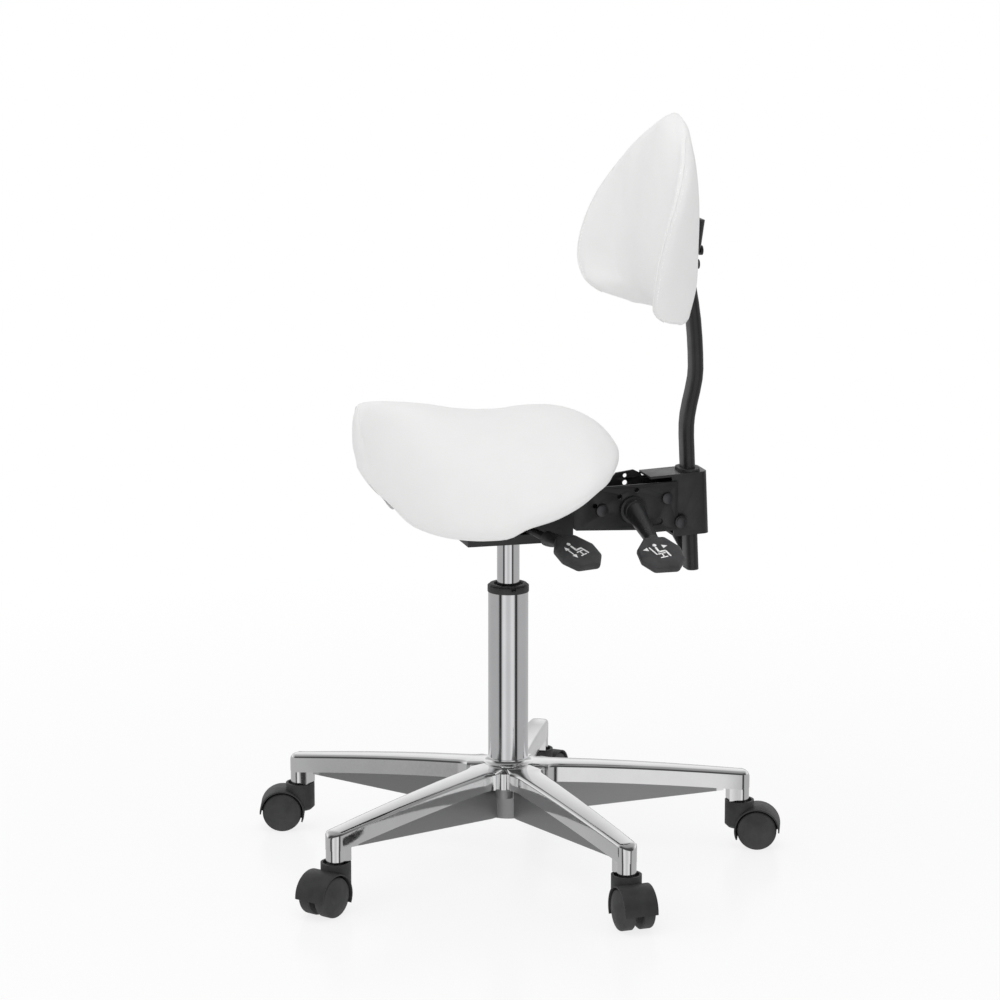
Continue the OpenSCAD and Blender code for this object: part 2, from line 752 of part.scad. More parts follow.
module bracket_plate_left() {
  color("#1f1f21") side_plate(bracket_in, bracket_half_w) difference() {
    bracket_outline();
    bracket_holes();
  }
}

module bracket_plate_right() {
  color("#1f1f21") side_plate(-bracket_half_w, -bracket_in) difference() {
    union() {
      bracket_outline();
      // raised tab along the top of this plate
      translate([tilt_pivot_y, tilt_pivot_z + 28]) polygon([[26, 0], [33, 8], [56, 11], [66, 6], [68, 0]]);
    }
    bracket_holes();
    translate([tilt_pivot_y + 45, tilt_pivot_z + 32]) circle(2.6, $fn = fine);
  }
}

module tilt_pivot_bolt() {
  color("#2a2a2c") at_tilt_pivot() {
    rod_x(tilt_r, -bracket_half_w - 6, bracket_half_w + 1);
    rod_x(tilt_r + 2.5, bracket_half_w, bracket_half_w + 3);
    rod_x(tilt_r + 3, -bracket_half_w - 5, -bracket_half_w);
  }
}

module tilt_clamp_bolt() {
  color("#2a2a2c") at_tilt_clamp() {
    rod_x(tilt_r, -bracket_half_w - 6, bracket_half_w + hub_len - 3);
    rod_x(tilt_r + 3, -bracket_half_w - 5, -bracket_half_w);
  }
}

module friction_discs() {
  color("silver") at_tilt_clamp() for (s = [-1, 1])
    translate([s > 0 ? tongue_t / 2 + 0.1 : -tongue_t / 2 - 0.1 - disc_t, 0, 0])
      rotate([0, 90, 0]) tube(tilt_r + 6, tilt_r, disc_t);
}

module bracket_spacers() {
  x0 = tongue_t / 2 + 0.1 + disc_t;
  color("silver") at_tilt_clamp() for (s = [-1, 1])
    translate([s > 0 ? x0 : -bracket_in, 0, 0]) rotate([0, 90, 0]) tube(tilt_r + 3, tilt_r, bracket_in - x0);
}

module bracket_bolt() {
  color("#2a2a2c") translate([0, rear_bolt_y, rear_bolt_z]) {
    rod_x(height_bolt_d / 2, -bracket_half_w - 5, bracket_half_w + 1);
    rod_x(height_bolt_d / 2 + 3, bracket_half_w, bracket_half_w + 3);
    rod_x(height_bolt_d / 2 + 2.5, -bracket_half_w - 4, -bracket_half_w);
  }
}

hub_len = 22;
disc_t = 3;
height_bolt_d = 8;
shell_t = 8;

tilt_cone_x = bracket_half_w + free_gap + hub_len - 14;

// The conical grip between the hub and the paddle
module tilt_cone() {
  translate([tilt_cone_x, 0, 0]) rotate([0, 90 + tilt_lever_droop, 0])
    cylinder(h = tilt_lever_reach - paddle_l / 2, r1 = 13, r2 = 7.5, $fn = fine);
}

module tilt_lever_hub() {
  x0 = bracket_half_w + free_gap;
  color("black") at_tilt_clamp() difference() {
    union() {
      rod_x(17, x0, x0 + 5);
      rod_x(13.6, x0, x0 + hub_len - 8);
      tilt_cone();
    }
    rod_x(tilt_r + run_gap, 0, x0 + hub_len - 3);
  }
}

module tilt_lever_paddle() {
  color("#3a3a3c") at_tilt_clamp() difference() {
    translate([tilt_cone_x, 0, 0]) rotate([0, tilt_lever_droop, 0]) translate([tilt_lever_reach - 8, 0, 0])
      rotate([0, -tilt_lever_droop, 0]) paddle();
    tilt_cone();
  }
}

// ---- Upright ----
module at_upright() {
  translate([0, upright_foot_y, upright_foot_z]) rotate([upright_lean, 0, 0]) children();
}

module flat_oval(half_w, half_t) {
  square([2 * (half_w - half_t), 2 * half_t], center = true);
  for (s = [-1, 1]) translate([s * (half_w - half_t), 0]) circle(half_t, $fn = fine);
}

holder_low = holder_bottom_z - upright_foot_z;
holder_high = holder_top_z - upright_foot_z;
holder_front = -holder_depth / 2 - 5;
holder_rear = holder_depth / 2 - 4;
corner_r = 8;
liner_half_t = upright_t / 2 + 3.5;
liner_half_w = holder_half - holder_wall - 0.1;

// Plan of the holder: open at the front, rounded at the back
module holder_plan(half, rear, corner) {
  translate([-half, holder_front]) square([2 * half, rear - corner - holder_front]);
  translate([-half + corner, rear - corner - 1]) square([2 * (half - corner), corner + 1]);
  for (s = [-1, 1]) translate([s * (half - corner), rear - corner]) circle(corner, $fn = fine);
}

module upright_holder() {
  color("#1f1f21") difference() {
    at_upright() difference() {
      union() {
        difference() {
          translate([0, 0, holder_low]) linear_extrude(holder_high - holder_low)
            holder_plan(holder_half, holder_rear, corner_r);
          translate([0, 0, holder_low + holder_wall]) linear_extrude(holder_high - holder_low - 2 * holder_wall)
            holder_plan(holder_half - holder_wall, holder_rear - holder_wall, corner_r - holder_wall);
          // front is open
          translate([-holder_half + holder_wall, holder_front - 1, holder_low + holder_wall])
            cube([2 * (holder_half - holder_wall), 4, holder_high - holder_low - 2 * holder_wall]);
        }
        // cheeks that reach forward between the bracket plates
        for (s = [-1, 1]) translate([s > 0 ? holder_half - holder_wall : -holder_half, holder_front - 24, holder_low + 8])
          cube([holder_wall, 25, holder_high - holder_low - 18]);
        // top flange
        translate([-holder_half, holder_front - 28, holder_high - holder_wall]) cube([2 * holder_half, 29, holder_wall]);
      }
      translate([0, 0, holder_low - 1]) linear_extrude(holder_high - holder_low + 2) flat_oval(liner_half_w, liner_half_t);
    }
    for (p = [[rear_bolt_y, rear_bolt_z], [height_clamp_y, height_clamp_z]])
      translate([0, p[0], p[1]]) rod_x(height_bolt_d / 2, -bracket_half_w, bracket_half_w);
  }
}

module upright_liner() {
  color("dimgray") at_upright() difference() {
    union() {
      translate([0, 0, holder_low]) linear_extrude(holder_high - holder_low) flat_oval(liner_half_w, liner_half_t);
      translate([0, 0, holder_high]) linear_extrude(3) flat_oval(liner_half_w + 1.5, liner_half_t + 1.5);
    }
    translate([0, 0, holder_low - 1]) linear_extrude(holder_high - holder_low + 5)
      flat_oval(upright_w / 2 + slide_gap, upright_t / 2 + slide_gap);
  }
}

clamp_lever_l = 56;
clamp_lever_w = 15;
clamp_lever_t = 6;
clamp_lever_angle = -61;
clamp_gap_x = bracket_half_w + 2.5;

module height_clamp_bolt() {
  color("#2a2a2c") translate([0, height_clamp_y, height_clamp_z]) {
    rod_x(height_bolt_d / 2, -clamp_gap_x - clamp_lever_t - 3, bracket_half_w + 1);
    rod_x(height_bolt_d / 2 + 4, bracket_half_w, bracket_half_w + 2.5);
    rod_x(height_bolt_d / 2 + 2.5, bracket_half_w + 2, bracket_half_w + 4);
    rod_x(height_bolt_d / 2 + 3.5, -clamp_gap_x, -bracket_half_w);
    rod_x(height_bolt_d / 2 + 2.5, -clamp_gap_x - clamp_lever_t - 3, -clamp_gap_x - clamp_lever_t - free_gap);
  }
}

module height_clamp_lever() {
  color("black") translate([0, height_clamp_y, height_clamp_z]) difference() {
    side_plate(-clamp_gap_x - clamp_lever_t, -clamp_gap_x - free_gap) rotate(clamp_lever_angle) {
      circle(clamp_lever_w / 2 + 1, $fn = fine);
      translate([0, -clamp_lever_w / 2]) square([clamp_lever_l, clamp_lever_w]);
      translate([clamp_lever_l, 0]) circle(clamp_lever_w / 2, $fn = fine);
    }
    rod_x(height_bolt_d / 2 + run_gap, -clamp_gap_x - clamp_lever_t - 1, 0);
  }
}

// Middle line of the upright above its straight part: how far back and how far up from the end of it
upright_bends = [[0, 14], [1, 26], [4, 42], [7.5, 57], [10.5, 73], [11.3, 85], [10.8, 104], [9.6, 124],
                 [7.5, 147], [4.5, 168], [0.5, 190], [-1.5, 208], [1, 222], [6.5, 240], [10.8, 270]];
straight_end = [upright_foot_y - upright_straight * sin(upright_lean),
                upright_foot_z + upright_straight * cos(upright_lean)];
upright_path = concat([[upright_foot_y, upright_foot_z]], [straight_end], [for (b = upright_bends) straight_end + b]);
tube_wall = 2;

// Angle of the path at point i, from upright, and the ring of points across it
function path_lean(p, i) = let (a = p[max(0, i - 1)], b = p[min(len(p) - 1, i + 1)], d = b - a) atan2(-d[0], d[1]);
function upright_angle(i) = i <= 1 ? upright_lean : path_lean(upright_path, i);
function oval_ring(c, lean, half_w, half_t) = [for (k = [0:19]) let (
    a = k * 180 / 9 - (k > 9 ? 20 : 0),
    x = (k > 9 ? -1 : 1) * (half_w - half_t) + half_t * sin(a),
    y = -half_t * cos(a))
  [x, c[0] + y * cos(lean), c[1] + y * sin(lean)]];

// Closed tube: outer rings up, inner rings down, joined at both ends
module tube_loft(rings) {
  n = len(rings[0]);
  m = len(rings);
  polyhedron([for (ring = rings) each ring], [for (i = [0:m - 1]) for (j = [0:n - 1]) let (k = (j + 1) % n, b = (i + 1) % m)
    each [[i * n + j, i * n + k, b * n + k], [i * n + j, b * n + k, b * n + j]]]);
}

screw_zs = [upright_foot_z + 383, upright_foot_z + 400];
screw_d = 6;
back_screw_in = 7;

// Where a screw's head lies behind the upright
function screw_head_y(z) = lookup(z, [for (p = upright_path) [p[1], p[0]]]) + upright_t / 2 + 3;

module at_back_screws() {
  for (z = screw_zs) translate([0, 0, z]) children();
}

module back_upright() {
  last = len(upright_path) - 1;
  half_w = upright_w / 2;
  half_t = upright_t / 2;
  color("#1a1a1a") difference() {
    tube_loft(concat(
      [for (i = [0:last]) oval_ring(upright_path[i], upright_angle(i), half_w, half_t)],
      [for (i = [last:-1:0]) oval_ring(upright_path[i], upright_angle(i), half_w - tube_wall, half_t - tube_wall)]));
    at_back_screws() rod_y(screw_d / 2 + run_gap, back_rear_y - 10, upright_foot_y + 30);
  }
}

module upright_end_caps() {
  last = len(upright_path) - 1;
  color("black") for (e = [[0, -1], [last, 1]]) let (p = upright_path[e[0]], a = upright_angle(e[0]))
    translate([0, p[0], p[1]]) rotate([a, 0, 0]) translate([0, 0, e[1] > 0 ? 0 : -2]) linear_extrude(2)
      flat_oval(upright_w / 2, upright_t / 2);
}

// ---- Seat ----
// Smooth curve through a short table of [place, value]
function span(t, x, i = 0) = i >= len(t) - 2 || x < t[i + 1][0] ? i : span(t, x, i + 1);
function curve(t, x) = let (
    i = span(t, x),
    a = t[max(0, i - 1)], b = t[i], c = t[i + 1], d = t[min(len(t) - 1, i + 2)],
    h = c[0] - b[0],
    u = clamp01((x - b[0]) / h),
    m1 = (c[1] - a[1]) / (c[0] - a[0]) * h,
    m2 = (d[1] - b[1]) / (d[0] - b[0]) * h)
  (2 * u * u * u - 3 * u * u + 1) * b[1] + (u * u * u - 2 * u * u + u) * m1
  + (3 * u * u - 2 * u * u * u) * c[1] + (u * u * u - u * u) * m2;

// Along the seat, 0 at the nose and 1 at the rear
seat_width_shape = [[0, 0.11], [0.047, 0.125], [0.098, 0.16], [0.145, 0.235], [0.192, 0.36], [0.24, 0.5],
                    [0.287, 0.62], [0.35, 0.745], [0.413, 0.835], [0.508, 0.925], [0.6, 0.975], [0.7, 1],
                    [0.79, 0.965], [0.87, 0.83], [0.935, 0.63], [0.975, 0.42], [1, 0.14]];
seat_rise_shape = [[0, 1], [0.1, 1.05], [0.26, 0.75], [0.41, 0.25], [0.57, 0], [0.7, 0.08], [0.8, 0]];
seat_fall_shape = [[0.8, 0], [0.87, 0.12], [0.935, 0.34], [0.975, 0.62], [1, 1]];
seat_flap_shape = [[0, 0.52], [0.02, 0.44], [0.05, 0.35], [0.085, 0.27], [0.11, 0.23], [0.13, 0.17], [0.17, 0.05],
                   [0.21, 0.007], [0.25, 0.015], [0.3, 0.037], [0.4, 0.048], [0.47, 0.074], [0.53, 0.154],
                   [0.63, 0.235], [0.72, 0.338], [0.8, 0.449], [0.87, 0.507], [0.91, 0.566], [1, 0.61]];
shell_stations = [0.24, 0.265, 0.295, 0.335, 0.39, 0.45, 0.52, 0.6, 0.68, 0.75, 0.8, 0.84, 0.88, 0.92];
seat_stations = concat([0, 0.02, 0.05, 0.09, 0.12, 0.15, 0.18, 0.21], shell_stations, [0.95, 0.975, 0.99, 1]);
shell_rise_shape = [[0, 40], [0.1, 28], [0.22, 4], [0.27, 0], [0.86, 0], [0.93, 12], [1, 30]];
shell_flat_shape = [[0, 0.04], [0.1, 0.08], [0.15, 0.12], [0.2, 0.22], [0.24, 0.35], [0.265, 0.44], [0.29, 0.48],
                    [0.36, 0.48], [0.85, 0.47], [0.93, 0.3], [1, 0.1]];
shell_width_shape = [[0.24, 0.2], [0.3, 0.46], [0.36, 0.6], [0.45, 0.75], [0.6, 0.84], [0.8, 0.8], [0.88, 0.6],
                     [0.94, 0.35]];
seat_rear_fall = 42;
seat_edge = 13;
seat_pad_min = 20;
cushion_gap = 2;

function seat_y(u) = mix(seat_front_y, seat_rear_y, u);
function seat_w(u) = seat_half_w * curve(seat_width_shape, u);
function seat_mid_z(u) = seat_top_z + nose_rise * (u < 0.8 ? curve(seat_rise_shape, u) : 0)
  - seat_rear_fall * (u > 0.8 ? curve(seat_fall_shape, u) : 0);
function seat_low_z(u) = mix(flap_z, seat_top_z, curve(seat_flap_shape, u));
function seat_edge_z(u) = seat_low_z(u) + mix(4, 14, ease(u / 0.15));

// Top of the saddle at a share t of the half-width: round at the nose, an open arch behind it
function nose_drop(t) = 1 - pow(1 - t * t, 0.45);
function saddle_drop(t, u) = mix(nose_drop(t), pow(t, mix(1.6, 2.3, clamp01(u))), ease(u / 0.35));
function saddle_z(x, u) = mix(seat_mid_z(u), seat_edge_z(u), saddle_drop(min(1, abs(x) / seat_w(u)), u));

// Half-width of the shell, and of its flat middle over the seat plate
function shell_w(u) = min(seat_half_w * curve(shell_width_shape, u), 0.8 * seat_w(u) - seat_edge / 2);
function shell_flat_w(u) = seat_half_w * curve(shell_flat_shape, u);

// Lower face of the shell: flat over the seat plate, curving down into the flaps
function shell_low(x, u) = let (
    z0 = shell_z + max(0, curve(shell_rise_shape, u)),
    z1 = seat_low_z(u) + 6,
    s = clamp01((abs(x) - shell_flat_w(u)) / max(seat_edge, seat_w(u) - seat_edge - shell_flat_w(u))))
  mix(z0, z1, pow(s, 1.7));

// Places across the shell: the flat middle, then six steps out to the edge on each side
function shell_xs(u) = let (w = shell_w(u), f = min(shell_flat_w(u), 0.7 * w)) concat(
  [for (i = [6:-1:0]) -mix(f, w, i / 6)], [0], [for (i = [0:6]) mix(f, w, i / 6)]);

// Lower face of the padding: just over the shell, and outside it thinner towards the edge
function cushion_low(x, u) = let (over_shell = shell_low(x, u) + shell_t + cushion_gap)
  abs(x) <= shell_w(u) ? over_shell : min(saddle_z(x, u) - seat_pad_min, over_shell);

// Places across the padding's lower face: those of the shell, and two more out to each flap
function under_xs(u, e) = let (w = shell_w(u), far = seat_w(u) - e) concat(
  [far, mix(far, w, 0.5)], [for (x = shell_xs(u)) -x], [-mix(far, w, 0.5), -far]);

function seat_ring(u) = let (w = seat_w(u), y = seat_y(u), low = seat_low_z(u), e = min(seat_edge, w * 0.4)) concat(
  [for (t = [-1:0.125:1]) [w * t, y, saddle_z(w * t, u)]],
  [[w - 1, y, low + 2], [w - 4, y, low - 1], [w - e + 2, y, low - 1], [w - e, y, low + 2]],
  [for (x = under_xs(u, e)) [x, y, cushion_low(x, u)]],
  [[-w + e, y, low + 2], [-w + e - 2, y, low - 1], [-w + 4, y, low - 1], [-w + 1, y, low + 2]]);

// A ring across the shell
function shell_ring(u) = let (xs = shell_xs(u), y = seat_y(u), last = len(xs) - 1) concat(
  [for (i = [0:last]) [xs[i], y, shell_low(xs[i], u) + shell_t]],
  [for (i = [last:-1:0]) [xs[i], y, shell_low(xs[i], u)]]);

module seat_shell() {
  color("#2c2c2e") difference() {
    slab_loft([for (u = shell_stations) shell_ring(u)]);
    at_seat_bolts() rod(seat_bolt_d / 2, shell_t + seat_plate_t + 1);
  }
}

module seat_cushion() {
  color("white") loft([for (u = seat_stations) seat_ring(u)]);
}

// ---- Backrest ----
// Up the backrest, 0 at the bottom and 1 at the top
back_width_shape = [[0, 0.62], [0.02, 0.74], [0.075, 0.87], [0.16, 0.98], [0.26, 1], [0.44, 0.97], [0.61, 0.875],
                    [0.78, 0.67], [0.865, 0.5], [0.95, 0.29], [0.985, 0.15], [1, 0.05]];
// How far forward of the rear face the wing's front edge lies, as a share of the wing's reach
back_wing_shape = [[0, 0.85], [0.1, 1.03], [0.2, 1.07], [0.35, 1], [0.52, 0.81], [0.69, 0.51], [0.87, 0.2],
                   [0.95, 0.04], [1, 0]];
back_lean_shape = [[0, -6], [0.1, -2], [0.2, 0], [0.35, 0.5], [0.52, 1.5], [0.7, 0.5], [0.87, -2], [0.95, -4], [1, -6]];
back_thick_shape = [[0, 0.3], [0.03, 0.55], [0.1, 0.85], [0.25, 1], [0.6, 0.9], [0.85, 0.65], [0.95, 0.45], [1, 0.15]];
back_edge_t = 16;
back_shell_t = 8;
back_gap = 2;

function back_z(v) = mix(back_bottom_z, back_top_z, v);
function back_w(v) = back_half_w * curve(back_width_shape, v);
function back_rear(x, v) = let (t = min(1, abs(x) / back_w(v)))
  back_rear_y + curve(back_lean_shape, v) - wing_forward * curve(back_wing_shape, v) * pow(t, 3.6);
function back_thick(x, v) = let (t = min(1, abs(x) / back_w(v)), k = curve(back_thick_shape, v))
  mix(back_pad_t * k, back_edge_t * min(1, 1.2 * k), pow(t, 2));

// A ring across the backrest, from depth d0 behind the rear face to depth d1 (a share of the padding)
function back_ring(v, inset, d0, full) = let (w = back_w(v) - inset, z = back_z(v)) concat(
  [for (t = [-1:0.125:1]) [w * t, back_rear(w * t, v) - d0, z]],
  [for (t = [1:-0.125:-1]) [w * t, back_rear(w * t, v) - (full ? max(back_thick(w * t, v), d0 + 1) : d0 + back_shell_t), z]]);

module backrest_shell() {
  color("#e8e8e8") difference() {
    slab_loft([for (v = [0.1, 0.16, 0.25, 0.35, 0.45, 0.55, 0.65, 0.75, 0.84]) back_ring(v, 26, 1, false)]);
    at_back_screws() rod_y(screw_d / 2 + run_gap, back_rear_y - back_screw_in, back_rear_y + 5);
  }
}

module backrest_cushion() {
  color("white") slab_loft([for (v = [0, 0.02, 0.05, 0.1, 0.16, 0.25, 0.35, 0.45, 0.55, 0.65, 0.75, 0.83, 0.9, 0.95,
                                      0.98, 1]) back_ring(v, 0, back_shell_t + 1 + back_gap, true)]);
}

module backrest_screws() {
  color("silver") for (z = screw_zs) translate([0, screw_head_y(z), z]) {
    rod_y(screw_d / 2, back_rear_y - back_screw_in + 0.2 - screw_head_y(z), 1);
    rod_y(screw_d / 2 + 3, 0, 3.5);
  }
}

// ---- Assembly ----
star_base();
column_tube();
column_cap();
guide_bush();
thrust_bearing();
caster_stems();
piston_rod();
retaining_clip();
rubber_buffer();
piston();
gas_cylinder();
rod_gland();
lift_socket();
valve_pin();
mechanism_housing();
seat_plate();
seat_bolts();
seat_shell();
seat_cushion();
height_lever_pin();
height_lever_rod();
height_lever_paddle();
bracket_plate_left();
bracket_plate_right();
tilt_pivot_bolt();
tilt_clamp_bolt();
friction_discs();
bracket_spacers();
bracket_bolt();
tilt_lever_hub();
tilt_lever_paddle();
upright_holder();
upright_liner();
height_clamp_bolt();
height_clamp_lever();
back_upright();
upright_end_caps();
backrest_shell();
backrest_cushion();
backrest_screws();
caster_hood(0);  // caster_hood_1
caster_hood(1);  // caster_hood_2
caster_hood(2);  // caster_hood_3
caster_hood(3);  // caster_hood_4
caster_hood(4);  // caster_hood_5
caster_axle(0);  // caster_axle_1
caster_axle(1);  // caster_axle_2
caster_axle(2);  // caster_axle_3
caster_axle(3);  // caster_axle_4
caster_axle(4);  // caster_axle_5
caster_wheel(0, 1);  // caster_wheel_1a
caster_wheel(1, 1);  // caster_wheel_2a
caster_wheel(2, 1);  // caster_wheel_3a
caster_wheel(3, 1);  // caster_wheel_4a
caster_wheel(4, 1);  // caster_wheel_5a
caster_wheel(0, -1);  // caster_wheel_1b
caster_wheel(1, -1);  // caster_wheel_2b
caster_wheel(2, -1);  // caster_wheel_3b
caster_wheel(3, -1);  // caster_wheel_4b
caster_wheel(4, -1);  // caster_wheel_5b
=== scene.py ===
import json
import math

import bmesh
import bpy
from mathutils import Matrix, Vector


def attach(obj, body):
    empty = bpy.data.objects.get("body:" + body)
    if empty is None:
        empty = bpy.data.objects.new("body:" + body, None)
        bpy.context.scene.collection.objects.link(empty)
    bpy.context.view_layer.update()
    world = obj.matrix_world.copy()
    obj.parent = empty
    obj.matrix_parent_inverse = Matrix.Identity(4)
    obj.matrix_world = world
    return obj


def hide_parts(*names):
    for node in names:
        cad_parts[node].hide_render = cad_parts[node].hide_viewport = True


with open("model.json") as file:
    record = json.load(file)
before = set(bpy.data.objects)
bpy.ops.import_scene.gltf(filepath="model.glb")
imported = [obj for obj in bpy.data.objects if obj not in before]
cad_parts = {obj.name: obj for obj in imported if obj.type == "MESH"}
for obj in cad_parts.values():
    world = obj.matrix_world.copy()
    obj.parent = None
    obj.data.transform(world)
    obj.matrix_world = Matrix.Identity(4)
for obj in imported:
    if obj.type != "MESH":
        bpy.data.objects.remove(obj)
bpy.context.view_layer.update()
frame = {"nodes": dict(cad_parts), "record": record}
MM = 0.001
scene = bpy.context.scene


# ---- Small maths ----
def mix(a, b, t):
    return a + (b - a) * t


def clamp01(t):
    return min(1.0, max(0.0, t))


def ease(t):
    c = clamp01(t)
    return c * c * (3 - 2 * c)


def curve(table, x):
    """Smooth curve through the table's points."""
    last = len(table) - 1
    i = 0
    while i < last - 1 and x >= table[i + 1][0]:
        i += 1
    a, b, c, d = table[max(0, i - 1)], table[i], table[i + 1], table[min(last, i + 2)]
    h = c[0] - b[0]
    u = clamp01((x - b[0]) / h)
    m1 = (c[1] - a[1]) / (c[0] - a[0]) * h
    m2 = (d[1] - b[1]) / (d[0] - b[0]) * h
    return ((2 * u**3 - 3 * u * u + 1) * b[1] + (u**3 - 2 * u * u + u) * m1
            + (3 * u * u - 2 * u**3) * c[1] + (u**3 - u * u) * m2)


def spread(n, tight=0.35):
    """n + 1 values from -1 to 1, closer together towards the ends."""
    return [mix(2 * i / n - 1, math.sin(math.pi / 2 * (2 * i / n - 1)), tight) for i in range(n + 1)]


def round_angles(n):
    """n angles evenly round a circle."""
    return [2 * math.pi * k / n for k in range(n)]


# ---- Materials ----
def new_material(name, color, rough, metal=0.0, **extra):
    m = bpy.data.materials.new(name)
    m.use_nodes = True
    p = m.node_tree.nodes["Principled BSDF"]
    p.inputs["Base Color"].default_value = (*color, 1)
    p.inputs["Roughness"].default_value = rough
    p.inputs["Metallic"].default_value = metal
    for key, value in extra.items():
        p.inputs[key.replace("_", " ")].default_value = value
    return m


class Tree:
    """Shorthand for adding nodes to a node tree."""

    def __init__(self, tree):
        self.tree = tree

    def add(self, kind, **props):
        n = self.tree.nodes.new(kind)
        for k, v in props.items():
            setattr(n, k, v)
        return n

    def link(self, a, b):
        self.tree.links.new(a, b)

    def maths(self, operation, *values):
        """The output of a maths node. Values are numbers or other nodes' outputs."""
        n = self.add("ShaderNodeMath", operation=operation)
        for socket, v in zip(n.inputs, values):
            if isinstance(v, (int, float)):
                socket.default_value = v
            else:
                self.link(v, socket)
        return n.outputs[0]


class Nodes(Tree):
    """Shorthand for adding nodes to one material."""

    def __init__(self, m):
        super().__init__(m.node_tree)
        self.p = m.node_tree.nodes["Principled BSDF"]
        self.coord = self.add("ShaderNodeTexCoord")

    def noise(self, scale, detail=3.0, stretch=None):
        n = self.add("ShaderNodeTexNoise")
        n.inputs["Scale"].default_value = scale
        n.inputs["Detail"].default_value = detail
        source = self.coord.outputs["Object"]
        if stretch:
            scaled = self.add("ShaderNodeMapping")
            scaled.inputs["Scale"].default_value = stretch
            self.link(source, scaled.inputs["Vector"])
            source = scaled.outputs["Vector"]
        self.link(source, n.inputs["Vector"])
        return n.outputs["Fac"]

    def cells(self, scale):
        n = self.add("ShaderNodeTexVoronoi", feature="SMOOTH_F1")
        n.inputs["Scale"].default_value = scale
        self.link(self.coord.outputs["Object"], n.inputs["Vector"])
        return n.outputs["Distance"]

    def between(self, fac, low, high, from_low=0.3, from_high=0.7):
        n = self.add("ShaderNodeMapRange")
        n.inputs["From Min"].default_value = from_low
        n.inputs["From Max"].default_value = from_high
        n.inputs["To Min"].default_value = low
        n.inputs["To Max"].default_value = high
        self.link(fac, n.inputs["Value"])
        return n.outputs["Result"]

    def tint(self, fac, dark, light):
        n = self.add("ShaderNodeMix", data_type="RGBA")
        n.inputs["A"].default_value = (*dark, 1)
        n.inputs["B"].default_value = (*light, 1)
        self.link(fac, n.inputs["Factor"])
        self.link(n.outputs["Result"], self.p.inputs["Base Color"])

    def bump(self, fac, depth, strength=1.0, under=None):
        n = self.add("ShaderNodeBump")
        n.inputs["Distance"].default_value = depth
        n.inputs["Strength"].default_value = strength
        self.link(fac, n.inputs["Height"])
        if under:
            self.link(under, n.inputs["Normal"])
        self.link(n.outputs["Normal"], self.p.inputs["Normal"])
        return n.outputs["Normal"]


def leather(name, light, dark):
    """Smooth artificial leather: fine embossed grain over soft unevenness."""
    m = new_material(name, light, 0.46, Specular_IOR_Level=0.38)
    n = Nodes(m)
    n.tint(n.between(n.noise(38, 4), 0, 1), dark, light)
    n.link(n.between(n.noise(90, 3), 0.41, 0.52), n.p.inputs["Roughness"])
    soft = n.bump(n.noise(24, 2), 0.0005, 0.2)
    grain = n.bump(n.cells(1500), 0.00012, 0.5, soft)
    n.bump(n.noise(2600, 2), 0.00006, 0.5, grain)
    return m


def moulded(name, color, rough, grain=2200.0, depth=0.00008):
    """Moulded plastic with a fine spark-eroded grain."""
    m = new_material(name, color, rough, Specular_IOR_Level=0.45)
    n = Nodes(m)
    lighter = [c * 1.35 + 0.004 for c in color]
    n.tint(n.between(n.noise(60, 4), 0, 1), color, lighter)
    n.link(n.between(n.noise(140, 3), rough - 0.05, rough + 0.06), n.p.inputs["Roughness"])
    n.bump(n.noise(grain, 2), depth, 0.6)
    return m


def powder_coat(name, color, rough):
    """Painted steel with a slight orange-peel surface."""
    m = new_material(name, color, rough, Specular_IOR_Level=0.5)
    n = Nodes(m)
    lighter = [c * 1.3 + 0.003 for c in color]
    n.tint(n.between(n.noise(45, 4), 0, 1), color, lighter)
    n.link(n.between(n.noise(110, 3), rough - 0.04, rough + 0.05), n.p.inputs["Roughness"])
    n.bump(n.noise(900, 1), 0.00012, 0.45)
    return m


def metal(name, color, rough, uneven=0.02, lay=(1, 1, 1), fine_scale=700.0, depth=0.00002):
    """Bare metal. Its roughness varies by uneven, in a fine noise that lay stretches along an axis."""
    m = new_material(name, color, rough, 1.0)
    n = Nodes(m)
    n.tint(n.between(n.noise(30, 4), 0, 1), [c * 0.95 for c in color], color)
    n.link(n.between(n.noise(fine_scale, 3, lay), rough - uneven, rough + uneven), n.p.inputs["Roughness"])
    n.bump(n.noise(fine_scale, 2, lay), depth, 0.5)
    return m


POLISH = ((0.80, 0.80, 0.805), 0.085, 0.03, (1, 1, 1), 260)
MATTE_COLOR, MATTE_ROUGH = (0.42, 0.42, 0.425), 0.5

M_LEATHER = leather("white leather", (0.85, 0.85, 0.847), (0.84, 0.84, 0.837))
M_THREAD = moulded("white thread", (0.78, 0.78, 0.775), 0.6, 3000, 0.0001)
M_POLISHED = metal("polished aluminium", *POLISH)
M_CHROME = metal("chrome plate", (0.76, 0.76, 0.775), 0.06, 0.012, (1, 1, 0.05), 500, 0.000008)
M_BLACK_PLASTIC = moulded("black moulded plastic", (0.026, 0.026, 0.027), 0.52)
M_WHEEL = moulded("wheel plastic", (0.036, 0.036, 0.037), 0.56, 1500, 0.00012)
M_LEVER_GREY = moulded("lever grey plastic", (0.036, 0.036, 0.038), 0.5, 1800, 0.00012)
M_LEVER_BLACK = powder_coat("lever black", (0.015, 0.015, 0.016), 0.3)
M_COAT = powder_coat("black powder coat", (0.012, 0.012, 0.013), 0.36)
M_BOLT = metal("blackened steel", (0.09, 0.09, 0.095), 0.34, 0.06)
M_STEEL = metal("zinc steel", (0.60, 0.60, 0.60), 0.3, 0.06)
M_RUBBER = moulded("black rubber", (0.02, 0.02, 0.02), 0.75)
M_SHELL = moulded("seat shell plastic", (0.05, 0.05, 0.052), 0.6, 900, 0.0002)
M_PRINT = moulded("white print", (0.80, 0.80, 0.80), 0.55, 3000, 0.00002)

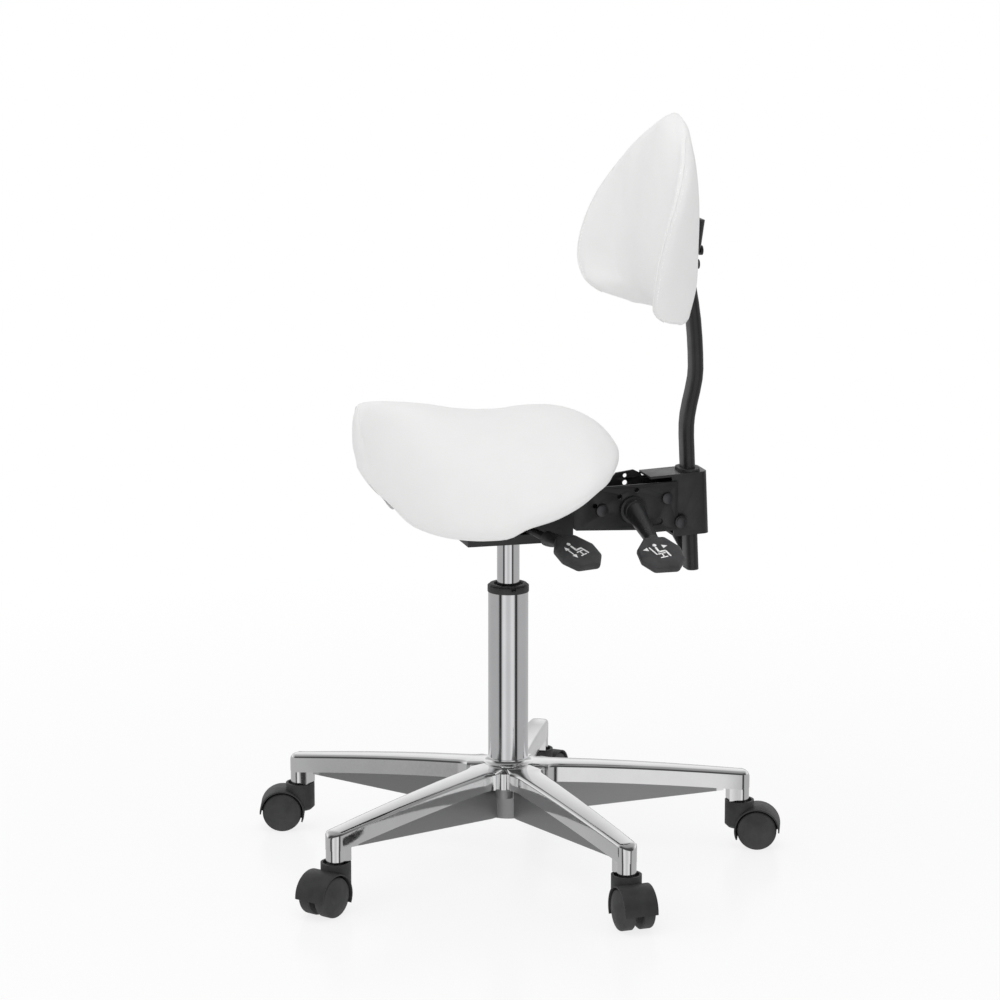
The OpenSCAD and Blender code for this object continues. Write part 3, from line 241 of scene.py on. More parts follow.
SLOT_MATERIALS = {
    "polished_aluminium": M_POLISHED, "chrome": M_CHROME, "black_plastic": M_BLACK_PLASTIC,
    "wheel_plastic": M_WHEEL, "lever_plastic": M_LEVER_GREY, "black_lever": M_LEVER_BLACK,
    "bright_steel": M_STEEL, "black_steel": M_COAT, "black_bolt": M_BOLT, "black_rubber": M_RUBBER,
    "piston_plastic": M_BLACK_PLASTIC, "shell_plastic": M_SHELL, "white_upholstery": M_LEATHER,
}


# ---- Mesh building ----
def smooth_group(angle):
    """Geometry nodes that shade smooth across edges flatter than the angle."""
    g = bpy.data.node_groups.new("smooth flat edges", "GeometryNodeTree")
    g.interface.new_socket("Geometry", in_out="INPUT", socket_type="NodeSocketGeometry")
    g.interface.new_socket("Geometry", in_out="OUTPUT", socket_type="NodeSocketGeometry")
    start, end = g.nodes.new("NodeGroupInput"), g.nodes.new("NodeGroupOutput")
    faces = g.nodes.new("GeometryNodeSetShadeSmooth")
    edges = g.nodes.new("GeometryNodeSetShadeSmooth")
    edges.domain = "EDGE"
    edges.inputs["Shade Smooth"].default_value = False
    edge_angle = g.nodes.new("GeometryNodeInputMeshEdgeAngle")
    over = g.nodes.new("FunctionNodeCompare")
    over.operation = "GREATER_THAN"
    over.inputs[1].default_value = angle
    g.links.new(edge_angle.outputs["Unsigned Angle"], over.inputs[0])
    g.links.new(start.outputs[0], faces.inputs["Geometry"])
    g.links.new(faces.outputs[0], edges.inputs["Geometry"])
    g.links.new(over.outputs[0], edges.inputs["Selection"])
    g.links.new(edges.outputs[0], end.inputs[0])
    return g


SMOOTH_BELOW = 32  # degrees between two faces
SMOOTH = smooth_group(math.radians(SMOOTH_BELOW))


def shade(obj):
    m = obj.modifiers.new("smooth", "NODES")
    m.node_group = SMOOTH


SAME_POINT = 1e-6  # metres


def make(name, verts, faces, material, body, slot, smooth=True):
    """A piece from points in millimetres, riding on a body."""
    me = bpy.data.meshes.new(name)
    me.from_pydata([Vector(v) * MM for v in verts], [], faces)
    me.validate()
    obj = bpy.data.objects.new(name, me)
    scene.collection.objects.link(obj)
    bm = bmesh.new()
    bm.from_mesh(me)
    bmesh.ops.remove_doubles(bm, verts=bm.verts, dist=SAME_POINT)
    bmesh.ops.recalc_face_normals(bm, faces=bm.faces)
    bm.to_mesh(me)
    bm.free()
    for p in me.polygons:
        p.use_smooth = True
    me.materials.append(material)
    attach(obj, body)
    if smooth:
        shade(obj)
    return obj


def grid_faces(rows, cols, wrap=False):
    """Quads over rows of points. wrap closes each row into a ring."""
    faces = []
    for i in range(rows - 1):
        for j in range(cols if wrap else cols - 1):
            k = (j + 1) % cols
            here, above = i * cols, (i + 1) * cols
            faces.append((here + j, here + k, above + k, above + j))
    return faces


def skin(rings, caps=True):
    """Skin over rings of points. caps closes the first and the last ring."""
    n = len(rings[0])
    verts = [p for ring in rings for p in ring]
    faces = grid_faces(len(rings), n, wrap=True)
    if caps:
        faces.append(tuple(range(n - 1, -1, -1)))
        faces.append(tuple((len(rings) - 1) * n + j for j in range(n)))
    return verts, faces


CAP_FADE = 4


def cap_grid(ring, rows, push):
    """A patch across a ring, from each point to its mirror in the ring.

    push(s, p) moves a point and crowns the patch. It fades over the last CAP_FADE points at each end.
    """
    half = len(ring) // 2
    verts = []
    for k in range(rows + 1):
        s = k / rows
        for j in range(half):
            flat = Vector(ring[j]).lerp(Vector(ring[-1 - j]), s)
            verts.append(flat.lerp(push(s, flat), ease(min(j, half - 1 - j) / CAP_FADE)))
    return verts, grid_faces(rows + 1, half)


BEAD_SIDES = 10
OFF_AXIS = Vector((0.31, 0.21, 0.93))  # no bead runs along this direction


def tube_along(points, radius):
    """A round bead along a line of points."""
    pts = [Vector(p) for p in points]
    rings = []
    for i, p in enumerate(pts):
        d = (pts[min(i + 1, len(pts) - 1)] - pts[max(i - 1, 0)]).normalized()
        side = d.cross(OFF_AXIS).normalized()
        up = side.cross(d)
        rings.append([p + radius * (math.cos(a) * side + math.sin(a) * up) for a in round_angles(BEAD_SIDES)])
    return skin(rings)


def joined(parts):
    """Several (points, faces) in one."""
    verts, faces = [], []
    for v, f in parts:
        base = len(verts)
        verts += list(v)
        faces += [tuple(i + base for i in face) for face in f]
    return verts, faces


# ---- CAD nodes: materials, welded skins, softened edges ----
WELD_WITHIN = 2e-6  # metres
BEVEL_ABOVE = 40  # degrees between two faces
# widths of the soft edges, in millimetres
CASTER_BEVEL = 0.4
BEVELS = {
    "mechanism_housing": 0.5, "seat_plate": 0.6, "bracket_plate_left": 0.5, "bracket_plate_right": 0.5,
    "upright_holder": 0.7, "column_cap": 0.4, "tilt_lever_hub": 0.5, "height_clamp_lever": 0.7,
    "bracket_bolt": 0.3, "tilt_pivot_bolt": 0.3, "tilt_clamp_bolt": 0.3, "height_clamp_bolt": 0.3,
    "friction_discs": 0.2, "upright_end_caps": 0.6, "seat_shell": 0.8, "height_lever_rod": 0.3,
}
slots = {s["node"]: s["material_slot"] for s in frame["record"]["subparts"]}


def dress(name, obj):
    """Give a CAD node its slot's material, smooth shading and soft edges, all without touching its points."""
    me = obj.data
    for a in [a for a in me.attributes if a.name in ("custom_normal", "sharp_face", "sharp_edge")]:
        me.attributes.remove(a)
    me.materials.clear()
    me.materials.append(SLOT_MATERIALS[slots[name]])
    weld = obj.modifiers.new("weld", "WELD")
    weld.merge_threshold = WELD_WITHIN
    width = CASTER_BEVEL if name.startswith(("caster_hood", "caster_wheel")) else BEVELS.get(name)
    if width:
        soft = obj.modifiers.new("soft edges", "BEVEL")
        soft.width = width * MM
        soft.segments = 2
        soft.limit_method = "ANGLE"
        soft.angle_limit = math.radians(BEVEL_ABOVE)
    for p in me.polygons:
        p.use_smooth = True
    shade(obj)


for node_name, node in frame["nodes"].items():
    dress(node_name, node)
frame["nodes"]["backrest_shell"].data.materials[0] = M_LEATHER
frame["nodes"]["backrest_screws"].data.materials[0] = M_COAT

# ---- Seat: u runs from 0 at the front to 1 at the rear ----
SEAT_TOP, NOSE_RISE, SEAT_FRONT, SEAT_REAR = 573.0, 18.0, -191.0, 126.0
SEAT_HALF, FLAP_LOW, REAR_FALL, RIM = 188.0, 437.0, 42.0, 13.0
SEAT_WIDTH = [[0, .11], [.047, .125], [.098, .16], [.145, .25], [.192, .395], [.24, .54], [.287, .65],
              [.35, .76], [.413, .835], [.508, .925], [.6, .975], [.7, 1], [.79, .965], [.87, .83],
              [.935, .63], [.975, .42], [1, .14]]
FALL_FROM = 0.8
SEAT_RISE = [[0, 1], [.1, 1.05], [.26, .75], [.41, .25], [.57, 0], [.7, .08], [FALL_FROM, 0]]
SEAT_FALL = [[FALL_FROM, 0], [.87, .12], [.935, .34], [.975, .62], [1, 1]]
SEAT_FLAP = [[0, .52], [.02, .44], [.05, .35], [.085, .27], [.11, .23], [.13, .17], [.17, .07], [.21, .036],
             [.25, .022], [.3, .018], [.4, .036], [.47, .068], [.53, .154], [.63, .235], [.72, .338],
             [.8, .449], [.87, .507], [.91, .566], [1, .61]]
NOSE_TIP, NOSE_END = 0.15, 0.35
EDGE_HEIGHT = (4, 14)  # the edge of the top above the low line: at the very front, and behind the tip
NOSE_ROUND = 0.45
SADDLE_ROUND = (1.6, 2.3)  # powers of the fall towards the edge: at the front, and at the rear
PAD_LEAST = 6
# the underside lies flat over the shell and falls to the flap beyond SHELL_EDGE
SHELL_TOP, SHELL_EDGE, UNDER_FALL, UNDER_POWER = 491, 80, 90, 1.7
LEVEL_TO, LEVEL_FROM_END, END_LIFT, FLAP_LIFT = 0.2, 0.15, 3, 8


def seat_w(u):
    return SEAT_HALF * curve(SEAT_WIDTH, u)


def seat_low(u):
    return mix(FLAP_LOW, SEAT_TOP, curve(SEAT_FLAP, u))


def seat_edge_z(u):
    return seat_low(u) + mix(*EDGE_HEIGHT, ease(u / NOSE_TIP))


def seat_mid(u):
    if u < FALL_FROM:
        return SEAT_TOP + NOSE_RISE * curve(SEAT_RISE, u)
    return SEAT_TOP - REAR_FALL * curve(SEAT_FALL, u)


def saddle_drop(t, u):
    """How far the top has come down at the share t of the half width: 0 in the middle, 1 at the edge."""
    nose = 1 - max(0.0, 1 - t * t) ** NOSE_ROUND
    return mix(nose, t ** mix(*SADDLE_ROUND, clamp01(u)), ease(u / NOSE_END))


def saddle_z(x, u):
    return mix(seat_mid(u), seat_edge_z(u), saddle_drop(min(1, abs(x) / seat_w(u)), u))


def seat_under(x, u):
    """Underside of the padding: just above the shell, and level with the rim at both ends."""
    ends = max(1 - ease(u / LEVEL_TO), ease((u - FALL_FROM) / LEVEL_FROM_END))
    flat = mix(SHELL_TOP, max(SHELL_TOP, seat_low(u) + END_LIFT), ends)
    out = clamp01((abs(x) - SHELL_EDGE) / UNDER_FALL) ** UNDER_POWER
    return min(saddle_z(x, u) - PAD_LEAST, mix(flat, seat_low(u) + FLAP_LIFT, out))


LIP_FROM, LIP_POINTS, TOP_COLS = 0.93, 6, 44  # the lip begins at LIP_FROM of the half width
LIP_SLOPE_OVER, LIP_BULGE, LIP_UNDER = 0.03, 1.25, 0.1
SEAT_TIGHT = (0.92, 0.35)  # how close the columns stand at the edge: on the nose, and behind it


def seat_ring(u):
    """The top from -X to +X, round under the lip there, back under the padding and round the lip at -X."""
    w, y, low = seat_w(u), mix(SEAT_FRONT, SEAT_REAR, u), seat_low(u)
    rim = min(RIM, w * 0.4)
    ts = [t * LIP_FROM for t in spread(TOP_COLS, mix(*SEAT_TIGHT, ease(u / NOSE_END)))]
    top = [(w * t, y, saddle_z(w * t, u)) for t in ts]
    end = top[-1]
    fall = (end[2] - saddle_z(w * (LIP_FROM - LIP_SLOPE_OVER), u)) / (w * LIP_SLOPE_OVER)
    reach = (w - end[0]) * LIP_BULGE
    points = [(end[0], end[2]), (end[0] + reach, max(low + 1, end[2] + fall * reach)),
              (w - rim * LIP_UNDER, low), (w - rim, low)]
    lip = []  # a Bezier curve from the edge of the top to the rim's underside
    for k in range(1, LIP_POINTS + 1):
        t = k / LIP_POINTS
        share = ((1 - t)**3, 3 * t * (1 - t)**2, 3 * t * t * (1 - t), t**3)
        x, z = (sum(f * q[axis] for f, q in zip(share, points)) for axis in (0, 1))
        lip.append((x, y, z))
    other_lip = [(-x, y, z) for x, y, z in reversed(lip)]
    inner = w - rim
    bottom = [(inner * t, y, seat_under(inner * t, u)) for t in reversed(spread(TOP_COLS))]
    return top + lip + bottom + other_lip


STATIONS = ([0, 0.006, 0.014, 0.026] + [0.04 + 0.02 * i for i in range(38)]
            + [0.815, 0.835, 0.855, 0.875, 0.895, 0.912, 0.928, 0.943, 0.956, 0.968, 0.979, 0.988, 0.995, 1])
CAP_ROWS, CAP_CROWN, CAP_ROUND = 10, 5, 0.6
FRONT_FLAT_BELOW, FRONT_FADE = 505, 35  # the front isn't crowned below this height


def seat_mesh():
    # each ring starts with the lip at -X, so that its two halves face each other in the end caps
    rings = [ring[-LIP_POINTS:] + ring[:-LIP_POINTS] for ring in map(seat_ring, STATIONS)]
    body = skin(rings, False)

    def crown(s):
        return CAP_CROWN * (4 * s * (1 - s)) ** CAP_ROUND

    def front_push(s, p):
        return Vector((p.x, p.y - crown(s) * ease((p.z - FRONT_FLAT_BELOW) / FRONT_FADE), p.z))

    front = cap_grid(rings[0], CAP_ROWS, front_push)
    rear = cap_grid(rings[-1], CAP_ROWS, lambda s, p: Vector((p.x, p.y + crown(s), p.z)))
    verts, faces = joined([body, front, rear])
    return [receded(v) for v in verts], faces


CORNER_DEPTH, CORNER_BACK, NOSE_HALF, CORNER_TOP, CORNER_HEIGHT = 34, 10, 21, 578, 70
TOP_EDGE_DEPTH, TOP_EDGE_DROP, TOP_EDGE_Z, TOP_EDGE_HEIGHT = 9, 4.5, 560, 25


def receded(v):
    """The nose: its lower corners lie further back than its middle, and its top edge is rounded."""
    fade = clamp01((SEAT_FRONT + CORNER_DEPTH - v[1]) / CORNER_DEPTH)
    aside = min(1, (abs(v[0]) / NOSE_HALF) ** 2)
    back_by = CORNER_BACK * fade * aside * ease((CORNER_TOP - v[2]) / CORNER_HEIGHT)
    edge = clamp01((SEAT_FRONT + TOP_EDGE_DEPTH - v[1]) / TOP_EDGE_DEPTH)
    down_by = TOP_EDGE_DROP * (1 - math.sqrt(1 - edge * edge)) * ease((v[2] - TOP_EDGE_Z) / TOP_EDGE_HEIGHT)
    return (v[0], v[1] + back_by, v[2] - down_by)


PUFF_FRAMES = 20


def puff(obj, pins, pressure, cap_mm, stiffness=40.0):
    """Cloth simulation under pressure: panels crown between the pinned seams.

    pins(p) is the hold on a point in millimetres, from 0 to 1. No point moves further than cap_mm.
    """
    me = obj.data
    rest = [v.co.copy() for v in me.vertices]
    group = obj.vertex_groups.new(name="pins")
    for i, v in enumerate(rest):
        weight = pins(v / MM)
        if weight > 0:
            group.add([i], weight, "REPLACE")
    cloth = obj.modifiers.new("cloth", "CLOTH")
    s = cloth.settings
    s.quality = 6
    s.mass = 0.4
    s.tension_stiffness = s.compression_stiffness = stiffness
    s.shear_stiffness = stiffness / 2
    s.bending_stiffness = 2.0
    s.use_pressure = True
    s.uniform_pressure_force = pressure
    s.vertex_group_mass = "pins"
    s.effector_weights.gravity = 0
    cloth.collision_settings.use_collision = False
    cloth.collision_settings.use_self_collision = False
    for f in range(1, PUFF_FRAMES + 1):
        scene.frame_set(f)
    evaluated = obj.evaluated_get(bpy.context.evaluated_depsgraph_get())
    moved = [v.co.copy() for v in evaluated.data.vertices][:len(rest)]
    obj.modifiers.remove(cloth)
    obj.vertex_groups.remove(group)
    limit = cap_mm * MM
    for v, a, b in zip(me.vertices, rest, moved):
        d = b - a
        if d.length > 1e-9:
            reach = limit * math.tanh(d.length / limit)
            v.co = a + d.normalized() * reach
    scene.frame_set(1)


STITCH_SIDES, STITCH_LIFT, STITCH_SINK = 6, 0.15, 1.1
STITCH_PROFILE = [(-0.5, 0.35), (-0.36, 0.85), (0, 1), (0.36, 0.85), (0.5, 0.35)]  # place, radius


def stitches(points, normals, pitch, length, radius):
    """Short thread stitches lying along a line, their ends sunk into the leather."""
    parts = []
    pts = [Vector(p) for p in points]
    total, at = 0.0, [0.0]
    for a, b in zip(pts, pts[1:]):
        total += (b - a).length
        at.append(total)
    d, i = pitch / 2, 0
    while d < total - pitch / 2:
        while at[i + 1] < d:
            i += 1
        t = (d - at[i]) / max(1e-9, at[i + 1] - at[i])
        c = pts[i].lerp(pts[i + 1], t)
        along = (pts[i + 1] - pts[i]).normalized()
        up = Vector(normals[i]).lerp(Vector(normals[i + 1]), t).normalized()
        c = c + up * STITCH_LIFT
        side = along.cross(up).normalized()
        rings = []
        for s, r in STITCH_PROFILE:
            sink = -radius * STITCH_SINK * (2 * s) ** 4
            q = c + along * (s * length) + up * sink
            rings.append([q + radius * r * (math.cos(a) * side + math.sin(a) * up)
                          for a in round_angles(STITCH_SIDES)])
        parts.append(skin(rings))
        d += pitch
    return joined(parts)


seat = make("seat_leather", *seat_mesh(), M_LEATHER, "seat_carrier", "white_upholstery", smooth=False)
PUFF_LIMIT = 3.0
SEAT_PRESSURE, PINNED_RIM, PINNED_DROP = 2.5, 16, 12


def seat_pins(p):
    """Only the top is free: the front, the rim and everything below the top are held."""
    u = clamp01((p.y - SEAT_FRONT) / (SEAT_REAR - SEAT_FRONT))
    held = p.y < SEAT_FRONT + 1 or p.z < seat_low(u) + PINNED_RIM or p.z < saddle_z(p.x, u) - PINNED_DROP
    return 1.0 if held else 0.0


puff(seat, seat_pins, SEAT_PRESSURE, PUFF_LIMIT)
shade(seat)
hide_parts("seat_cushion")

# ---- Backrest: v runs from 0 at the bottom to 1 at the top, t from -1 to 1 across ----
BACK_TOP, BACK_BOTTOM, BACK_HALF, BACK_REAR = 932.0, 688.0, 163.0, 221.0
WING, WING_POWER, PAD_T, EDGE_T, BACK_RIM = 72.0, 3.6, 46.0, 16.0, 11.0
BACK_WIDTH = [[0, .64], [.012, .72], [.035, .79], [.08, .865], [.16, .96], [.26, 1], [.44, .97], [.61, .875],
              [.78, .67], [.865, .5], [.95, .29], [.985, .15], [1, .05]]
BACK_WING = [[0, .42], [.012, .56], [.03, .73], [.065, .9], [.11, 1.01], [.2, 1.07], [.35, 1], [.52, .81],
             [.69, .51], [.87, .2], [.95, .04], [1, 0]]
BACK_LEAN = [[0, -6], [.1, -2], [.2, 0], [.35, .5], [.52, 1.5], [.7, .5], [.87, -2], [.95, -4], [1, -6]]
BACK_THICK = [[0, .3], [.03, .55], [.1, .85], [.25, 1], [.6, .9], [.85, .65], [.95, .45], [1, .15]]


def back_w(v):
    return BACK_HALF * curve(BACK_WIDTH, v)


def back_rear(t, v):
    return BACK_REAR + curve(BACK_LEAN, v) - WING * curve(BACK_WING, v) * abs(t) ** WING_POWER


def back_thick(t, v):
    k = curve(BACK_THICK, v)
    return mix(PAD_T * k, EDGE_T * min(1, 1.2 * k), t * t)


BACK_COLS = 56


def back_ring(v):
    """Front face from -X to +X, then rear face back. The seam runs through both ends."""
    w, z = back_w(v), mix(BACK_BOTTOM, BACK_TOP, v)
    ts = spread(BACK_COLS)
    middle = [Vector((w * t, back_rear(t, v) - back_thick(t, v) / 2, z)) for t in ts]
    front, rear = [], []
    rim = min(0.5, BACK_RIM / w)
    for i, t in enumerate(ts):
        d = (middle[min(i + 1, BACK_COLS)] - middle[max(i - 1, 0)]).normalized()
        n = Vector((-d.y, d.x, 0))
        s = clamp01((abs(t) - 1 + rim) / rim)
        half = back_thick(t, v) / 2 * math.sqrt(max(0.0, 1 - s * s))
        front.append(middle[i] - n * half)
        rear.append(middle[i] + n * half)
    return front + list(reversed(rear))


BACK_STATIONS = [0, 0.008, 0.018, 0.03, 0.045, 0.062] + [0.08 + 0.02 * i for i in range(42)] + [
    0.915, 0.93, 0.945, 0.958, 0.969, 0.979, 0.987, 0.994, 1]
BOTTOM_ROWS, BOTTOM_CROWN, TOP_ROWS = 8, 3, 4


def back_mesh(rings):
    def bottom_push(s, p):
        return Vector((p.x, p.y, p.z - BOTTOM_CROWN * math.sqrt(4 * s * (1 - s))))

    bottom = cap_grid(rings[0], BOTTOM_ROWS, bottom_push)
    top = cap_grid(rings[-1], TOP_ROWS, lambda s, p: p)
    return joined([skin(rings, False), bottom, top])


back_rings = [back_ring(v) for v in BACK_STATIONS]
back = make("backrest_leather", *back_mesh(back_rings), M_LEATHER, "backrest", "white_upholstery",
            smooth=False)
BACK_PRESSURE, SEAM_SHARE, TOP_HELD = 2.0, 0.95, 3
REAR_SHARE, REAR_DEPTH, REAR_HOLD = 0.7, 6, 0.7


def back_pins(p):
    """The seam, the bottom and the top are held, and the middle of the rear face in part."""
    v = clamp01((p.z - BACK_BOTTOM) / (BACK_TOP - BACK_BOTTOM))
    t = abs(p.x) / back_w(v)
    if t > SEAM_SHARE or p.z < BACK_BOTTOM + 1 or p.z > BACK_TOP - TOP_HELD:
        return 1.0
    if t < REAR_SHARE and p.y > back_rear(min(1, t), v) - REAR_DEPTH:
        return REAR_HOLD
    return 0.0


puff(back, back_pins, BACK_PRESSURE, PUFF_LIMIT)
shade(back)
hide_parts("backrest_cushion")


def along_ring(ring, start, step, reach):
    """The point at a distance along a ring from one of its points, and the direction square to the ring."""
    i, left = start, reach
    while True:
        a, b = Vector(ring[i % len(ring)]), Vector(ring[(i + step) % len(ring)])
        d = b - a
        if d.length >= left:
            break
        left -= d.length
        i += step
    out = Vector((d.y, -d.x, 0)).normalized() * step
    return a + d.normalized() * left, out


SEAM_RINGS = slice(3, -8)


def seam_line(side, reach):
    """A line up the wing edge, on the front face at a reach above 0 and on the rear face below 0."""
    if reach > 0:
        start, step, outward = (BACK_COLS if side > 0 else 0), -side, Vector((side, -1, 0))
    else:
        start, step, outward = (BACK_COLS + 1 if side > 0 else -1), side, Vector((side, 0.2, 0))
    points, normals = [], []
    for ring in back_rings[SEAM_RINGS]:
        p, out = along_ring(ring, start, step, abs(reach))
        points.append(p)
        normals.append(out if out.dot(outward) > 0 else -out)
    return points, normals


AT_SEAM, FROM_SEAM = 0.01, 4.5
SEAM_R, STITCH_PITCH, STITCH_LENGTH, STITCH_R, NOSE_SEAM_R = 0.9, 5.0, 3.6, 0.35, 0.8
for side, tag in ((1, "left"), (-1, "right")):
    bead = tube_along(seam_line(side, AT_SEAM)[0], SEAM_R)
    make(f"backrest_seam_{tag}", *bead, M_LEATHER, "backrest", "white_upholstery")
    for reach, face in ((FROM_SEAM, "front"), (-FROM_SEAM, "rear")):
        row = stitches(*seam_line(side, reach), STITCH_PITCH, STITCH_LENGTH, STITCH_R)
        make(f"backrest_stitches_{face}_{tag}", *row, M_THREAD, "backrest", "white_upholstery")

# the seam over the top edge of the nose
nose_edge = [receded(p) for p in seat_ring(0)[:TOP_COLS + 1]]
make("seat_nose_seam", *tube_along(nose_edge, NOSE_SEAM_R), M_LEATHER, "seat_carrier", "white_upholstery")

# ---- Paddles ----
PADDLE_W, PADDLE_L, PADDLE_T, PADDLE_DROOP = 56.0, 62.0, 9.0, 26.0
# half width at the neck, then where the outline turns, as shares of the half length and half width
PADDLE_NECK, PADDLE_WIDE_FROM, PADDLE_WIDE_TO, PADDLE_TIP = 13, 0.28, 0.42, 0.55
PADDLE_CORNER, CORNER_STEPS = 6, 7
NECK_SIDES = 28


def rounded_outline(corners, radius):
    """Corners of a convex outline, each rounded by an arc."""
    pts = []
    n = len(corners)
    for i, c in enumerate(corners):
        c = Vector(c)
        a = (Vector(corners[i - 1]) - c).normalized()
        b = (Vector(corners[(i + 1) % n]) - c).normalized()
        half = a.angle(b) / 2
        reach = radius / math.tan(half)
        start, end = c + a * reach, c + b * reach
        mid = c + (a + b).normalized() * (radius / math.sin(half))
        u, w = start - mid, end - mid
        total = u.angle(w)
        for k in range(CORNER_STEPS + 1):
            t = k / CORNER_STEPS
            q = (u * math.sin((1 - t) * total) + w * math.sin(t * total)) / math.sin(total)
            pts.append(mid + q)
    return pts


def paddle_mesh(place):
    half_l, half_w = PADDLE_L / 2, PADDLE_W / 2
    side = [(-half_l, PADDLE_NECK), (-half_l * PADDLE_WIDE_FROM, half_w), (half_l * PADDLE_WIDE_TO, half_w),
            (half_l, half_w * PADDLE_TIP)]
    outline = rounded_outline(side + [(x, -y) for x, y in reversed(side)], PADDLE_CORNER)
    top, low = PADDLE_T / 2, -PADDLE_T / 2
    # share of the outline and height, from the underside round the edge to the top
    profile = [(0.55, low + 0.2), (0.8, low), (0.93, low + 0.1), (0.975, low + 0.8), (1, low + 2.4),
               (1, top - 3.4), (0.985, top - 1.9), (0.955, top - 0.8), (0.90, top - 0.15), (0.8, top + 0.15),
               (0.55, top + 0.35), (0.25, top + 0.4)]
    rings = [[place @ Vector((p.x * k, p.y * k, z)) for p in outline] for k, z in profile]
    return skin(rings)


def neck_mesh(place, stations):
    """A flared neck: stations are (x, half width, half height, z)."""
    rings = []
    for x, hw, hh, z in stations:
        rings.append([place @ Vector((x, hw * math.cos(a), z + hh * math.sin(a)))
                      for a in round_angles(NECK_SIDES)])
    return skin(rings)


def rot(axis, degrees):
    return Matrix.Rotation(math.radians(degrees), 4, axis)


def shift(x, y=0.0, z=0.0):
    return Matrix.Translation((x, y, z))


HEIGHT_SWEEP, HEIGHT_ARM, HEIGHT_REACH, HEIGHT_DROOP, HEIGHT_Z = 17.0, 30.0, 124.0, 5.0, 433.0
height_line = rot("Z", HEIGHT_SWEEP) @ shift(HEIGHT_ARM, 0, HEIGHT_Z) @ rot("Y", HEIGHT_DROOP)
height_face = height_line @ shift(HEIGHT_REACH) @ rot("Y", PADDLE_DROOP - HEIGHT_DROOP)

CLAMP_Y, CLAMP_Z, TILT_REACH, TILT_DROOP = 153.0, 445.0, 118.0, 17.5
BRACKET_HALF, HUB_GAP, HUB_T, CONE_SUNK, FACE_BACK = 26.5, 0.3, 22, 14, 8
tilt_cone_x = BRACKET_HALF + HUB_GAP + HUB_T - CONE_SUNK
tilt_line = shift(0, CLAMP_Y, CLAMP_Z) @ shift(tilt_cone_x) @ rot("Y", TILT_DROOP)
tilt_face = tilt_line @ shift(TILT_REACH - FACE_BACK) @ rot("Y", PADDLE_DROOP - TILT_DROOP)

# stations of the necks: x along the lever, half width, half height and z
NECK_FROM, NECK_TO, NECK_STEPS, NECK_RISE = HEIGHT_REACH - 66, HEIGHT_REACH - 18, 10, 5.5
NECK_R, NECK_HALF_W, NECK_HALF_H = 9.5, 17, 5.2
height_neck = []
for k in range(NECK_STEPS + 1):
    flare = ease(k / NECK_STEPS)
    height_neck.append((mix(NECK_FROM, NECK_TO, k / NECK_STEPS), mix(NECK_R, NECK_HALF_W, flare),
                        mix(NECK_R, NECK_HALF_H, flare), mix(0, NECK_RISE, flare)))
tilt_neck = [(TILT_REACH - 44, 7.6, 7.6, 0.5), (TILT_REACH - 40, 8.6, 8.0, 1),
             (TILT_REACH - 34, 12, 6.2, 2.2), (TILT_REACH - 28, 15, 4.6, 3.0)]

for lever, face, line, neck in (("height_lever", height_face, height_line, height_neck),
                                ("tilt_lever", tilt_face, tilt_line, tilt_neck)):
    grip = joined([paddle_mesh(face), neck_mesh(line, neck)])
    paddle = make(f"{lever}_grip", *grip, M_LEVER_GREY, lever, "lever_plastic")
    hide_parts(f"{lever}_paddle")


# ---- Signs on the paddles: a seat with arrows for height, and with a leaning back for tilt ----
PRINT_Z = (PADDLE_T / 2 + 0.1, PADDLE_T / 2 + 0.8)
DISC_SIDES = 20
SIGN_SCALE = Matrix.Diagonal((1.2, 1.2, 1, 1))


def flat_shape(outline):
    return skin([[Vector((p[0], p[1], z)) for p in outline] for z in PRINT_Z])


def stroke(points, width):
    """A flat raised line with round ends."""
    pts = [Vector(p) for p in points]
    parts = []
    for a, b in zip(pts, pts[1:]):
        d = (b - a).normalized()
        heading = math.degrees(math.atan2(d.y, d.x))
        outline = []
        for centre, start in ((a, 90), (b, -90)):
            for q in (0, 45, 90, 135, 180):
                angle = math.radians(heading + start + q)
                outline.append(centre + Vector((math.cos(angle), math.sin(angle))) * width / 2)
        parts.append(flat_shape(outline))
    return joined(parts)


def disc(cx, cy, r):
    return flat_shape([(cx + r * math.cos(a), cy + r * math.sin(a)) for a in round_angles(DISC_SIDES)])


def sign(kind):
    """x grows away from the stool, so up the sign is -x. y is across."""
    parts = [disc(-11, -2, 2.1), stroke([(-7, -2.4), (0, -2.4)], 2.2), stroke([(0, -2.4), (0, 5)], 2.0),
             stroke([(0, 5), (9, 6.2)], 1.8), stroke([(3.2, -4.6), (3.2, 3)], 1.3),
             stroke([(3.2, -0.8), (9.2, -0.8)], 1.3), stroke([(9.2, -4.4), (9.2, 2.8)], 1.3)]
    if kind == "height":
        parts += [flat_shape([(-9.5, -10.5), (-4.5, -13.2), (-4.5, -7.8)]),
                  stroke([(-4.5, -10.5), (4.5, -10.5)], 1.2),
                  flat_shape([(9.5, -10.5), (4.5, -7.8), (4.5, -13.2)])]
    else:
        parts += [stroke([(3.2, -6.4), (-8.5, -9.0)], 1.5),
                  flat_shape([(-6.8, 10.5), (-9.4, 5.0), (-4.2, 5.0)]),
                  flat_shape([(-6.8, -17.0), (-4.2, -11.6), (-9.4, -11.6)])]
    return joined(parts)


for kind, face, degrees in (("height", height_face, 18), ("tilt", tilt_face, 12)):
    sign_verts, sign_faces = sign(kind)
    sign_place = face @ SIGN_SCALE @ rot("Z", degrees)
    sign_verts = [sign_place @ Vector(v) for v in sign_verts]
    make(f"{kind}_sign", sign_verts, sign_faces, M_PRINT, f"{kind}_lever", "lever_plastic")

